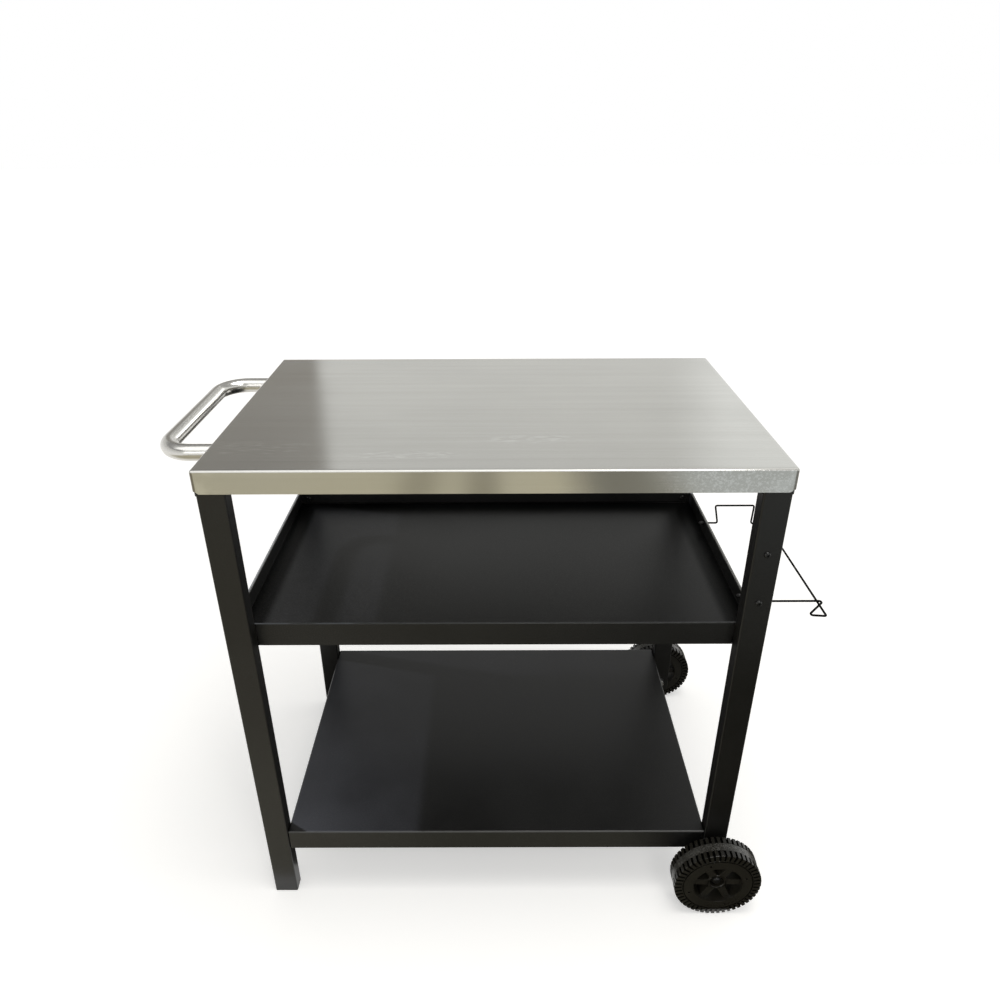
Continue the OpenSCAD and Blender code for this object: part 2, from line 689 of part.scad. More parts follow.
// Moulded wheel, drawn along +Z from its inner side at 0 to its outer side
module wheel_shape() {
    w = wheel_w;
    low = wheel_r - lug_deep;
    side_r = ring_r + 2;
    difference() {
        union() {
            cylinder(h = w, r = side_r);
            translate([0, 0, rib_deep]) cylinder(h = w - 2 * rib_deep, r = low);
            for (z = [rib_deep, w - lug_w]) translate([0, 0, z]) linear_extrude(lug_w - rib_deep)
                polygon(lug_outline(wheel_r, lug_deep));
            for (z = [0, w - rib_deep]) translate([0, 0, z]) linear_extrude(rib_deep)
                polygon(lug_outline(wheel_r, wheel_r - side_r + 0.5));
            translate([0, 0, lug_w]) cylinder(h = w - 2 * lug_w, r = wheel_r - 0.5);
        }
        translate([0, 0, -cut]) cylinder(h = w + 2 * cut, r = well_r);
        rotate_extrude() translate([well_r + wheel_wall, wheel_wall])
            square([low - well_r - 2 * wheel_wall, w - 2 * wheel_wall]);
        for (z = [-cut, w - 1]) translate([0, 0, z]) difference() {
            cylinder(h = 1 + cut, r = ring_r + 1);
            cylinder(h = 1 + cut, r = ring_r - 1);
        }
        for (i = [0 : 3], z = [-cut, w - wheel_wall - cut])
            rotate([0, 0, i * 90 + disc_hole_turn]) translate([(well_r + ring_r) / 2, 0, z])
                cylinder(h = wheel_wall + 2 * cut, d = disc_hole_d);
    }
    difference() {
        union() {
            translate([0, 0, hub_in - wheel_in]) cylinder(h = w - spoke_in + wheel_in - hub_in, r = hub_r);
            for (i = [0 : spokes - 1]) rotate([0, 0, i * 360 / spokes]) {
                translate([hub_r - 2, -spoke_w / 2, spoke_in]) cube([well_r - hub_r + 3, spoke_w, w - 2 * spoke_in]);
            }
        }
        translate([0, 0, w - recess_in]) cylinder(h = recess_in + cut, r = recess_r);
        translate([0, 0, hub_in - wheel_in - cut]) cylinder(h = w + 2 * cut, d = bush_d + 2 * fit);
    }
}
module wheel_front() {
    color(plastic) at_axle(-1, wheel_in) wheel_shape();
}
module wheel_rear() {
    color(plastic) at_axle(1, wheel_in) wheel_shape();
}

// Plain bearing pressed into the hub, flush with the hub's inner end and the recess floor
module wheel_bush(sy) {
    color("gray") at_axle(sy, hub_in) difference() {
        cylinder(h = recess_y - hub_in, d = bush_d);
        translate([0, 0, -cut]) cylinder(h = recess_y - hub_in + 2 * cut, d = axle_d + 2 * axle_gap);
    }
}
module wheel_bush_front() { wheel_bush(-1); }
module wheel_bush_rear() { wheel_bush(1); }

tabletop();
top_stiffener_front();
top_stiffener_rear();
leg_socket_front_left();
leg_socket_rear_left();
leg_socket_front_right();
leg_socket_rear_right();
leg_front_left();
leg_rear_left();
leg_front_right();
leg_rear_right();
foot_cap_front_left();
foot_cap_rear_left();
leg_plug_front_right();
leg_plug_rear_right();
handle();
handle_insert_front();
handle_insert_rear();
handle_bolts();
tray();
lower_shelf();
tray_bolts();
shelf_bolts();
socket_bolts();
rivet_nuts();
accessory_screws();
bag_holder();
bag_holder_cap_nuts();
bag_holder_lock_nuts();
axle_bolt_front();
axle_bolt_rear();
axle_nut_front();
axle_nut_rear();
axle_washers();
wheel_front();
wheel_rear();
wheel_bush_front();
wheel_bush_rear();
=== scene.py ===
import bmesh
import bpy
import math
from mathutils import Matrix, Vector


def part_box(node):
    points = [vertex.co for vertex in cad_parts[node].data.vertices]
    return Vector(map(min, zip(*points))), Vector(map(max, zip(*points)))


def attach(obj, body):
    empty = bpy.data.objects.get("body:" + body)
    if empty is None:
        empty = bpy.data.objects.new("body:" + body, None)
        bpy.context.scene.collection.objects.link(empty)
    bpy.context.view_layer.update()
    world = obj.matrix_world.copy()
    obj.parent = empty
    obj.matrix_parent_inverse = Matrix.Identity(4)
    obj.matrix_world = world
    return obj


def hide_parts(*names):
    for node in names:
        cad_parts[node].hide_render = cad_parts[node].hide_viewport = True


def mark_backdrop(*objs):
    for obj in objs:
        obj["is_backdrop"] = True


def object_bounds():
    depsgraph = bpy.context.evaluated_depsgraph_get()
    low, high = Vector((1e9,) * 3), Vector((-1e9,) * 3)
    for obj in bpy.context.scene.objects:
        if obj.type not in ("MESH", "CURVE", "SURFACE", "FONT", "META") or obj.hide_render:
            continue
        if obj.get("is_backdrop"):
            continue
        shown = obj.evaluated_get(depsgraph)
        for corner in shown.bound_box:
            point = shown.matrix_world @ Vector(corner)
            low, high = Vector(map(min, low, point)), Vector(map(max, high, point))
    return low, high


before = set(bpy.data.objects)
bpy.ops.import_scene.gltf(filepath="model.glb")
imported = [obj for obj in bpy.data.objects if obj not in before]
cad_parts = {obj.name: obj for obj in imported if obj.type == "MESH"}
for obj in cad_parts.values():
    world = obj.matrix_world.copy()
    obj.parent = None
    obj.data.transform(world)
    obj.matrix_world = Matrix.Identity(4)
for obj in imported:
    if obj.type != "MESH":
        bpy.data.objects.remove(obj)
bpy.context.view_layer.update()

# Camera
# Stands in front of the cart at head height and looks down on it. Its place, tilt and lens were
# solved from the photograph's measured corners.
eye = Vector((-0.0068, -1.1744, 1.2718))
pitch, yaw, roll = math.radians(-27.06), math.radians(-0.16), math.radians(-0.28)
ahead = Vector((math.sin(yaw) * math.cos(pitch), math.cos(yaw) * math.cos(pitch), math.sin(pitch)))
right = Vector((math.cos(yaw), -math.sin(yaw), 0))
up = right.cross(ahead)
rolled_right = right * math.cos(roll) + up * math.sin(roll)
rolled_up = up * math.cos(roll) - right * math.sin(roll)
stance = Matrix((rolled_right, rolled_up, -ahead)).transposed().to_4x4()
camera = bpy.data.objects.new("camera", bpy.data.cameras.new("camera"))
bpy.context.scene.collection.objects.link(camera)
camera.matrix_world = Matrix.Translation(eye) @ stance
camera.data.sensor_width = 36
camera.data.lens = 27.453
camera.data.shift_x = 0.0048
camera.data.shift_y = 0.0005
camera.data.clip_start = 0.05
bpy.context.scene.camera = camera
bpy.context.scene.view_settings.view_transform = "Standard"


# Floor and studio
# A plain pale floor under soft light from above. The room is white low down and calmer above, with
# a dim side at the back left that the steel top mirrors. A small lamp stands behind on the left.
def feed(node, wires):
    """Fills a node's inputs with values or with other nodes' outputs."""
    for socket, value in wires.items():
        if isinstance(value, bpy.types.NodeSocket):
            node.id_data.links.new(value, node.inputs[socket])
        else:
            colour = node.inputs[socket].type == "RGBA"
            node.inputs[socket].default_value = (*value, 1) if colour else value


def place(tree, kind, wires=None, **settings):
    """Adds a node, sets its options and fills its inputs."""
    node = tree.nodes.new("ShaderNode" + kind)
    for name, value in settings.items():
        setattr(node, name, value)
    feed(node, wires or {})
    return node


def spot_on(tree):
    """Output that says where on a piece a point lies."""
    return place(tree, "TexCoord").outputs["Object"]


def split(tree, vector):
    """The three outputs along X, Y and Z of a place or a direction."""
    return place(tree, "SeparateXYZ", {0: vector}).outputs


def ramp_between(tree, value, low, high, out_low=0.0, out_high=1.0):
    """Output that goes smoothly from one value to another while the input goes from low to high."""
    return place(tree, "MapRange", {0: value, 1: low, 2: high, 3: out_low, 4: out_high},
                 interpolation_type="SMOOTHSTEP").outputs[0]


def reckon(tree, kind, *values):
    """Output of a sum on numbers."""
    return place(tree, "Math", dict(enumerate(values)), operation=kind).outputs[0]


def both_of(tree, first, second):
    """Output of two shares multiplied: full only where both are."""
    return reckon(tree, "MULTIPLY", first, second)


def move(tree, kind, *vectors):
    """Output of a sum on places or directions."""
    gives = "Value" if kind in ("LENGTH", "DOT_PRODUCT") else "Vector"
    return place(tree, "VectorMath", dict(enumerate(vectors)), operation=kind).outputs[gives]


def blend(tree, share, first, second):
    """Output colour between a first and a second one."""
    return place(tree, "Mix", {0: share, 6: first, 7: second}, data_type="RGBA").outputs[2]


def colour_row(tree, value, stops, kind="EASE"):
    """Output colour along a row of stops, each a position and three parts of a colour."""
    row = place(tree, "ValToRGB", {0: value})
    row.color_ramp.interpolation = kind
    marks = row.color_ramp.elements
    for mark, (at, *colour) in zip(marks, (stops[0], stops[-1])):
        mark.position, mark.color = at, (*colour, 1)
    for at, *colour in stops[1:-1]:
        marks.new(at).color = (*colour, 1)
    return row.outputs[0]


def new_finish(name):
    """New material, with its tree and its shader."""
    material = bpy.data.materials.new(name)
    material.use_nodes = True
    return material, material.node_tree, material.node_tree.nodes["Principled BSDF"]


def soft_light(name, place_at, aim, size, power, colour):
    """Square soft lamp, hung at a place and turned to a point."""
    lamp = bpy.data.objects.new(name, bpy.data.lights.new(name, "AREA"))
    lamp.data.shape = "SQUARE"
    lamp.data.size = size
    lamp.data.energy = power
    lamp.data.color = colour
    lamp.location = place_at
    lamp.rotation_euler = (Vector(aim) - Vector(place_at)).to_track_quat("-Z", "Y").to_euler()
    bpy.context.scene.collection.objects.link(lamp)
    return lamp


def light_list(lamp, piece, state):
    """Takes one piece out of a lamp's light, or puts it among the only pieces that the lamp lights."""
    if lamp.light_linking.receiver_collection is None:
        lamp.light_linking.receiver_collection = bpy.data.collections.new(f"{lamp.name}_lights")
    lamp.light_linking.receiver_collection.objects.link(piece)
    lamp.light_linking.receiver_collection.collection_objects[-1].light_linking.link_state = state


def take(*pieces):
    """Selects these pieces and nothing else, the first one active."""
    bpy.ops.object.select_all(action="DESELECT")
    for piece in pieces:
        piece.select_set(True)
    if pieces:
        bpy.context.view_layer.objects.active = pieces[0]


white, warm_white = (1, 1, 1), (1, 0.99, 0.97)
room = bpy.data.worlds.new("studio")
bpy.context.scene.world = room
room.use_nodes = True
tree = room.node_tree
toward = place(tree, "TexCoord").outputs["Generated"]
_, toward_y, toward_z = split(tree, toward)
dim_from = math.radians(13.6)
left_of = move(tree, "DOT_PRODUCT", toward, (-math.cos(dim_from), -math.sin(dim_from), 0))
dim_side = both_of(tree, ramp_between(tree, left_of, -0.008, 0.008), ramp_between(tree, toward_y, -0.5, 0.0))
dim_side = both_of(tree, dim_side, ramp_between(tree, left_of, 0.36, 0.29))
bright_side = ramp_between(tree, left_of, -0.42, -0.5)
upper = blend(tree, bright_side, (0.78, 0.78, 0.755), (1.02, 1.03, 1.01))
upper = blend(tree, dim_side, upper, (0.33, 0.315, 0.285))
shaded = both_of(tree, ramp_between(tree, left_of, -0.02, 0.12), ramp_between(tree, toward_z, 0.66, 0.60))
ceiling = blend(tree, shaded, (0.45, 0.45, 0.44), (0.13, 0.13, 0.135))
upper = blend(tree, ramp_between(tree, toward_z, 0.43, 0.52), upper, ceiling)
whole = blend(tree, ramp_between(tree, toward_z, 0.13, 0.2), white, upper)
shown = blend(tree, place(tree, "LightPath").outputs["Is Camera Ray"], whole, white)
feed(tree.nodes["Background"], {"Color": shown, "Strength": 1.0})

overhead = soft_light("overhead", (0.3, -0.3, 3.2), (0, 0, 0.6), 1.6, 42, warm_white)
small_lamp = soft_light("small_lamp", (-1.52, 0.514, 2.152), (0, 0, 0.5), 0.06, 44, (0.80, 0.84, 1))
soft_light("front_lamp", (0.9, -2.6, 3.0), (0, 0, 0.5), 0.9, 16, warm_white)
far_lamps = []
for turn in (-3.3, 10.8):
    far_at = (9 * math.sin(math.radians(turn)), 9 * math.cos(math.radians(turn)), 5.8)
    far_lamps.append(soft_light(f"far_lamp_{turn}", far_at, (0, 0, 0.7), 0.35, 1.3, (1, 0.98, 0.95)))

take()
bpy.ops.mesh.primitive_grid_add(x_subdivisions=8, y_subdivisions=8, size=40)
floor = bpy.context.object
floor.name = floor.data.name = "floor"
floor_paint, tree, shader = new_finish("pale_floor")
feed(shader, {"Base Color": (0.8, 0.79, 0.77), "Roughness": 0.9, "Specular IOR Level": 0})
# The floor is lifted towards white for the eye alone, and can't be seen from below
raised = ramp_between(tree, move(tree, "LENGTH", spot_on(tree)), 0.9, 3.2, 0.43, 0.62)
rays = place(tree, "LightPath").outputs
shown = reckon(tree, "ADD", rays["Is Camera Ray"], rays["Is Glossy Ray"])
shown = place(tree, "Math", {0: shown, 1: rays["Is Transmission Ray"]}, operation="ADD", use_clamp=True)
lift = place(tree, "Emission", {0: white, 1: both_of(tree, shown.outputs[0], raised)})
lifted = place(tree, "AddShader", {0: shader.outputs[0], 1: lift.outputs[0]})
seen = place(tree, "MixShader", {0: place(tree, "NewGeometry").outputs["Backfacing"], 1: lifted.outputs[0],
                                 2: place(tree, "BsdfTransparent").outputs[0]})
feed(tree.nodes["Material Output"], {"Surface": seen.outputs[0]})
floor.data.materials.append(floor_paint)
for lamp in far_lamps:
    light_list(lamp, floor, "EXCLUDE")

# Low card in front of the cart, out of the picture, for the skirt and the black fronts to mirror: light
# paper with a few even folds, one dark gap right of the middle and a cool end
take()
bpy.ops.mesh.primitive_grid_add(x_subdivisions=6, y_subdivisions=6, size=1, location=(0, -2.175, 0.012))
card = bpy.context.object
card.name = card.data.name = "grey_card"
card.scale = (4.4, 3.8, 1)
bpy.ops.object.transform_apply(location=True, rotation=False, scale=True)
card_paper, tree, paper = new_finish("card_paper")
card_x, card_y, _ = split(tree, spot_on(tree))
light_paper, fold_shade = (0.72, 0.67, 0.50), (0.38, 0.35, 0.25)
gap_shade, cool_paper = (0.27, 0.26, 0.21), (0.65, 0.68, 0.68)
fold_every = 0.24
wave = reckon(tree, "SINE", reckon(tree, "MULTIPLY", card_x, math.tau / fold_every))
folded = both_of(tree, ramp_between(tree, card_x, -0.5, -0.35), ramp_between(tree, card_x, 0.12, 0.0))
far = blend(tree, both_of(tree, ramp_between(tree, wave, 1, -1), folded), light_paper, fold_shade)
far = blend(tree, ramp_between(tree, card_x, 0.56, 0.74), far, cool_paper)
gap = both_of(tree, ramp_between(tree, card_x, 0.2, 0.42), ramp_between(tree, card_x, 0.76, 0.58))
far = blend(tree, gap, far, gap_shade)
# Near the cart the card darkens towards the right: painted shade for the shadow on the floor there, darkest by
# the right wheel
near = colour_row(tree, ramp_between(tree, card_x, -0.8, 0.8), (
    (0.1, 0.55, 0.51, 0.41), (0.5, 0.33, 0.31, 0.24), (0.72, 0.10, 0.095, 0.07)))
bright_left, middle_shade, wheel_shadow_tone = (0.80, 0.76, 0.63), (0.48, 0.46, 0.36), (0.06, 0.055, 0.04)
close = blend(tree, ramp_between(tree, card_x, -0.4, -0.05), bright_left, middle_shade)
close = blend(tree, ramp_between(tree, card_x, 0.22, 0.36), close, wheel_shadow_tone)
shades = blend(tree, ramp_between(tree, card_y, -1.5, -1.0), far, near)
shades = blend(tree, ramp_between(tree, card_y, -0.8, -0.5), shades, close)
feed(paper, {"Base Color": shades, "Roughness": 0.9, "Specular IOR Level": 0})
card.data.materials.append(card_paper)
# Smaller dark card on the floor behind the cart, a painted stand-in for the shade on the floor there, for the
# lower shelf and the tray to mirror
shade_card = bpy.data.objects.new("shade_card", card.data.copy())
shade_card.data.transform(Matrix.Translation((0.168, 0.9, 0.003)) @ Matrix.Diagonal((0.3036, 0.58, 1, 1))
                         @ Matrix.Translation((0, 2.175, -0.012)))
bpy.context.scene.collection.objects.link(shade_card)
shade_card.data.materials.clear()
shade_paper, tree, paper = new_finish("shade_paper")
feed(paper, {"Base Color": (0.12, 0.115, 0.10), "Roughness": 0.9})
shade_card.data.materials.append(shade_paper)
for sheet_of_card in (card, shade_card):
    sheet_of_card.visible_camera = sheet_of_card.visible_diffuse = sheet_of_card.visible_shadow = False
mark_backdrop(floor, card, shade_card)


# Steel top
# One sheet of stainless, brushed along its length, folded down all round into a 35 mm skirt with
# welded and ground corners, and folded in once more at the skirt's lower edge.
def block(name, low, high):
    """Block between two corners, its place in its mesh."""
    take()
    low, high = Vector(low), Vector(high)
    bpy.ops.mesh.primitive_cube_add(size=1, location=(low + high) / 2)
    piece = bpy.context.object
    piece.scale = high - low
    bpy.ops.object.transform_apply(location=True, rotation=False, scale=True)
    piece.name = piece.data.name = name
    return piece


def pick(piece, kind, chosen):
    """Opens a piece for editing with only those parts selected whose middle and direction are chosen."""
    if bpy.context.object and bpy.context.object.mode == "EDIT":
        put_down()
    take(piece)
    bpy.ops.object.mode_set(mode="EDIT")
    bpy.ops.mesh.select_mode(type=kind)
    bpy.ops.mesh.select_all(action="DESELECT")
    shape = bmesh.from_edit_mesh(piece.data)
    for part in {"VERT": shape.verts, "EDGE": shape.edges, "FACE": shape.faces}[kind]:
        if kind == "VERT":
            middle, way = part.co, part.normal
        elif kind == "EDGE":
            middle = (part.verts[0].co + part.verts[1].co) / 2
            way = (part.verts[1].co - part.verts[0].co).normalized()
        else:
            middle, way = part.calc_center_median(), part.normal
        if chosen(middle, way):
            part.select_set(True)
    shape.select_flush_mode()
    bmesh.update_edit_mesh(piece.data)


def put_down():
    """Ends the editing of a piece."""
    bpy.ops.object.mode_set(mode="OBJECT")


def round_off(piece, radius, steps, chosen):
    """Rounds the edges of a piece that are chosen by their middle and direction."""
    pick(piece, "EDGE", chosen)
    bpy.ops.mesh.bevel(offset=radius, segments=steps, affect="EDGES")


def apply(piece, kind, **settings):
    """Adds a modifier to a piece and applies it at once."""
    take(piece)
    step = piece.modifiers.new(kind.lower(), kind)
    for name, value in settings.items():
        setattr(step, name, value)
    bpy.ops.object.modifier_apply(modifier=step.name)


def join(pieces):
    """Makes one piece of several, under the first one's name."""
    take(*pieces)
    bpy.ops.object.join()
    return pieces[0]


def finish(piece, material, body, node, angle=35):
    """Smooths a piece, gives it its finish and slot, and lets it ride on its body in place of a CAD node."""
    take(piece)
    bpy.ops.object.shade_smooth_by_angle(angle=math.radians(angle))
    apply(piece, "WEIGHTED_NORMAL", keep_sharp=True)
    piece.data.materials.clear()
    piece.data.materials.append(material)
    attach(piece, body)
    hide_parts(node)
    return piece


def folded_pan(name, low, high, radius, sheet, corner_lift=0):
    """Sheet pan open below, with round upright corners, folded edges and, if lifted, clipped lower corners."""
    clip = 0.008
    pan = block(name, low, high)
    round_off(pan, radius, 5, lambda middle, way: abs(way.z) > 0.9 or middle.z > high[2] - 1e-4)
    pick(pan, "FACE", lambda middle, way: way.z < -0.9)
    bpy.ops.mesh.delete(type="FACE")
    if corner_lift:
        pick(pan, "FACE", lambda middle, way: True)
        for side in (0, 1):
            for at in (low[side] + clip, high[side] - clip):
                bpy.ops.mesh.select_all(action="SELECT")
                bpy.ops.mesh.bisect(plane_co=[at if i == side else 0 for i in range(3)],
                                    plane_no=[float(i == side) for i in range(3)])
        pick(pan, "VERT", lambda middle, way: middle.z < low[2] + 1e-5 and all(
            min(abs(middle[i] - low[i]), abs(middle[i] - high[i])) < radius + 1e-4 for i in (0, 1)))
        bpy.ops.transform.translate(value=(0, 0, corner_lift))
    put_down()
    apply(pan, "SOLIDIFY", thickness=sheet, offset=-1)
    return pan


def lip_strips(name, low, high, width, sheet, stop_x, stop_y):
    """Four flat strips folded inwards along a pan's lower edge, their free edges rounded."""
    inside = Vector((sheet / 2, sheet / 2, 0))
    low, high, strips = low + inside, high - inside, []
    for side, stop in enumerate((stop_x, stop_y)):
        for end in (0, 1):
            a, b = low.copy(), high.copy()
            a[side] += stop
            b[side] -= stop
            across = 1 - side
            if end:
                a[across] = b[across] - width
            else:
                b[across] = a[across] + width
            b.z = a.z + sheet
            strips.append(block(f"{name}_{side}{end}", a, b))
            round_off(strips[-1], sheet * 0.3, 2, lambda middle, way: abs(way.z) < 0.5)
            put_down()
    return strips


def new_effect(name, takes, gives):
    """New effect that several finishes share, with its tree and its two ends."""
    effect = bpy.data.node_groups.new(name, "ShaderNodeTree")
    for in_out, sockets in (("INPUT", takes), ("OUTPUT", gives)):
        for socket in sockets:
            kind = "NodeSocketVector" if socket == "Vector" else "NodeSocketFloat"
            effect.interface.new_socket(socket, in_out=in_out, socket_type=kind)
    return effect, effect.nodes.new("NodeGroupInput").outputs, effect.nodes.new("NodeGroupOutput")


def use_effect(tree, effect, spot, name, value):
    """Places a shared effect in a finish and gives back its outputs."""
    node = tree.nodes.new("ShaderNodeGroup")
    node.node_tree = effect
    feed(node, {"Vector": spot, name: value})
    return node.outputs


def noise(tree, spot, scale, detail, rough=0.5):
    """Output of a soft cloudy pattern."""
    return place(tree, "TexNoise", {"Vector": spot, "Scale": scale, "Detail": detail,
                                    "Roughness": rough}).outputs["Fac"]


def bump(tree, height, strength, depth):
    """Output that raises and sinks a surface by a height."""
    return place(tree, "Bump", {"Strength": strength, "Distance": depth, "Height": height}).outputs[0]


brushing, taken, given = new_effect("brushing", ("Vector", "Lines per metre"), ("Shade", "Smear", "Height"))
per_metre = taken["Lines per metre"]
spread = place(brushing, "CombineXYZ", {0: 3.0, 1: per_metre, 2: per_metre}).outputs[0]
fine = noise(brushing, move(brushing, "MULTIPLY", taken["Vector"], spread), 1.0, 2.0, 0.6)
broad = noise(brushing, move(brushing, "MULTIPLY", taken["Vector"], (1.2, 60, 60)), 1.0, 3.0, 0.55)
mixed = place(brushing, "Mix", {0: 0.5, 2: fine, 3: broad}, data_type="FLOAT").outputs[0]
feed(given, {"Shade": mixed, "Smear": noise(brushing, taken["Vector"], 4.5, 3.0), "Height": fine})

top_low, top_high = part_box("tabletop")
middle_x = (top_low.x + top_high.x) / 2
half_long = (top_high.x - top_low.x) / 2
brushed_top, tree, steel = new_finish("brushed_top")
spot = spot_on(tree)
spot_x, spot_y, spot_z = split(tree, spot)
facing = place(tree, "NewGeometry").outputs["Normal"]
# On the two end skirts the brushing runs down over the fold, elsewhere it runs along the cart
sideways = reckon(tree, "ABSOLUTE", split(tree, facing)["X"])
squeeze = place(tree, "CombineXYZ", {0: 1.0, 1: 1.0, 2: ramp_between(tree, sideways, 0.5, 0.7, 1.0, 0.004)})
lines = use_effect(tree, brushing, move(tree, "MULTIPLY", spot, squeeze.outputs[0]), "Lines per metre", 700)
tone = colour_row(tree, lines["Shade"], ((0.3, 0.585, 0.58, 0.555), (0.7, 0.65, 0.645, 0.622)), "LINEAR")
# Short pale rub marks near the front edge, and a fine pale speckle towards the front skirt's right end
marks = noise(tree, move(tree, "MULTIPLY", spot, (45, 520, 1)), 1.0, 2.0)
rubbed = 0.0
for at, reach in (((-0.355, -0.178, 0.848), (9, 30, 9)), ((0.045, -0.15, 0.848), (12, 45, 12)),
                  ((-0.13, -0.205, 0.848), (10, 60, 10))):
    from_patch = move(tree, "LENGTH", move(tree, "MULTIPLY", move(tree, "SUBTRACT", spot, at), reach))
    rubbed = reckon(tree, "MAXIMUM", rubbed, ramp_between(tree, from_patch, 1.0, 0.5))
rubbed = both_of(tree, rubbed, ramp_between(tree, marks, 0.56, 0.64, 0, 0.5))
right_end = both_of(tree, ramp_between(tree, spot_x, 0.17, 0.3), ramp_between(tree, spot_z, 0.8472, 0.8462))
specks = both_of(tree, right_end, ramp_between(tree, noise(tree, spot, 330.0, 4.0), 0.47, 0.62, 0, 0.5))
tone = blend(tree, reckon(tree, "MAXIMUM", rubbed, specks), tone, (0.90, 0.90, 0.89))
# Ground corners: a cloudy paler zone, and a dull dark line down each weld
off_middle = reckon(tree, "ABSOLUTE", reckon(tree, "SUBTRACT", spot_x, middle_x))
on_skirt = ramp_between(tree, spot_z, 0.8465, 0.8445)
cloudy = both_of(tree, ramp_between(tree, off_middle, half_long - 0.05, half_long - 0.01),
                 ramp_between(tree, noise(tree, spot, 45.0, 3.0), 0.4, 0.65, 0.1, 0.6))
tone = blend(tree, both_of(tree, cloudy, on_skirt), tone, (0.80, 0.81, 0.80))
weld = both_of(tree, ramp_between(tree, off_middle, half_long - 0.0054, half_long - 0.0038, 0, 0.8), on_skirt)
tone = blend(tree, weld, tone, (0.16, 0.145, 0.12))
feed(steel, {"Base Color": tone, "Metallic": 1, "Anisotropic": 1,
             "Roughness": ramp_between(tree, lines["Smear"], 0.3, 0.7, 0.11, 0.15),
             "Tangent": move(tree, "CROSS_PRODUCT", facing, (1, 0, 0.15)),
             "Normal": bump(tree, lines["Height"], 0.12, 0.0002)})

sheet, fold_r, corner_lift = 0.001, 0.003, 0.004
steel_top = folded_pan("steel_top", top_low, top_high, fold_r, sheet, corner_lift)
lip_w, lip_stop_x, lip_stop_y = 0.012, 0.0488, 0.0338
join([steel_top] + lip_strips("top_lip", top_low, top_high, lip_w, sheet, lip_stop_x, lip_stop_y))
finish(steel_top, brushed_top, "cart", "tabletop")
for lamp in (*far_lamps, overhead):
    light_list(lamp, steel_top, "EXCLUDE")
top_lamp = soft_light("top_lamp", (0.3, -0.3, 3.2), (0, 0, 0.6), 3.4, 30, warm_white)
fold_lamp = soft_light("fold_lamp", (-0.4, -2.0, 2.6), (0, -0.25, 0.84), 3.0, 24, (1, 1, 0.98))
for lamp in (top_lamp, fold_lamp):
    light_list(lamp, steel_top, "INCLUDE")

# Stiffening channels
# Two hat channels pressed from zinc-coated steel and glued under the top, so that the thin sheet
# doesn't drum or sag. They keep their plain shapes and get their finish here.
zinc_coat, tree, zinc = new_finish("zinc_coat")
spot = spot_on(tree)
flakes = place(tree, "TexVoronoi", {"Vector": spot, "Scale": 140.0}, feature="F1").outputs["Color"]
flake = place(tree, "SeparateColor", {0: flakes}).outputs
haze = noise(tree, spot, 18.0, 4.0)
tone = blend(tree, flake[0], (0.40, 0.41, 0.42), (0.56, 0.57, 0.58))
feed(zinc, {"Base Color": blend(tree, ramp_between(tree, haze, 0.55, 0.75, 0, 0.5), tone, (0.36, 0.36, 0.35)),
            "Metallic": 1, "Roughness": ramp_between(tree, haze, 0.3, 0.7, 0.34, 0.52),
            "Normal": bump(tree, flake[1], 0.1, 0.0001)})


def coat_with(material, *nodes):
    """Gives carried-over pieces a finish."""
    for name in nodes:
        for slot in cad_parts[name].material_slots:
            slot.material = material


coat_with(zinc_coat, "top_stiffener_front", "top_stiffener_rear")

# Legs
# Black powder-coated rectangular tube, 40 by 25 mm. The two left legs reach the floor, the two right
# ones stop above it and carry the axles. Threaded sleeves for the bolts are set in drilled holes.
grain, taken, given = new_effect("coat grain", ("Vector", "Grains per metre"), ("Speckle", "Cloud", "Height"))
dust = place(grain, "TexVoronoi", {"Vector": taken["Vector"], "Scale": 42.0}, feature="F1").outputs
rare = place(grain, "SeparateColor", {0: dust["Color"]}).outputs[0]
fleck = both_of(grain, ramp_between(grain, dust["Distance"], 0.045, 0.02), ramp_between(grain, rare, 0.86, 0.9))
feed(given, {"Speckle": fleck, "Cloud": noise(grain, taken["Vector"], 5.0, 4.0, 0.55),
             "Height": noise(grain, taken["Vector"], taken["Grains per metre"], 2.0)})


def grained_coat(name, dark, light, rough_low, rough_high, grains, depth, gloss=0.5):
    """Coat with a fine grain, a few dust specks and a slowly changing sheen."""
    material, tree, coat = new_finish(name)
    effect = use_effect(tree, grain, spot_on(tree), "Grains per metre", grains)
    grainy = reckon(tree, "MULTIPLY_ADD", ramp_between(tree, effect["Height"], 0.3, 0.7), effect["Cloud"], -0.2)
    grainy = place(tree, "Math", {0: grainy, 1: 2.0}, operation="MULTIPLY", use_clamp=True).outputs[0]
    shade = blend(tree, grainy, dark, light)
    specked = blend(tree, both_of(tree, effect["Speckle"], 0.25), shade, (0.17, 0.165, 0.15))
    feed(coat, {"Base Color": specked, "Specular IOR Level": gloss,
                "Roughness": ramp_between(tree, effect["Cloud"], 0.3, 0.7, rough_low, rough_high),
                "Normal": bump(tree, effect["Height"], 0.08, depth)})
    return material


def rod(name, start, end, radius, sides=32):
    """Round or many-sided rod between two points."""
    take()
    start, end = Vector(start), Vector(end)
    bpy.ops.mesh.primitive_cylinder_add(vertices=sides, radius=radius, depth=(end - start).length,
                                        location=(start + end) / 2,
                                        rotation=(end - start).to_track_quat("Z", "X").to_euler())
    piece = bpy.context.object
    bpy.ops.object.transform_apply(location=True, rotation=True, scale=True)
    piece.name = piece.data.name = name
    return piece


def drill(piece, holes):
    """Takes rods out of a piece, each given by its middle, half its length, its radius and its sides."""
    cutter = join([rod("hole", Vector(at) - Vector(way), Vector(at) + Vector(way), radius, sides)
                   for at, way, radius, sides in holes])
    apply(piece, "BOOLEAN", object=cutter, operation="DIFFERENCE", solver="EXACT")
    bpy.data.objects.remove(cutter, do_unlink=True)


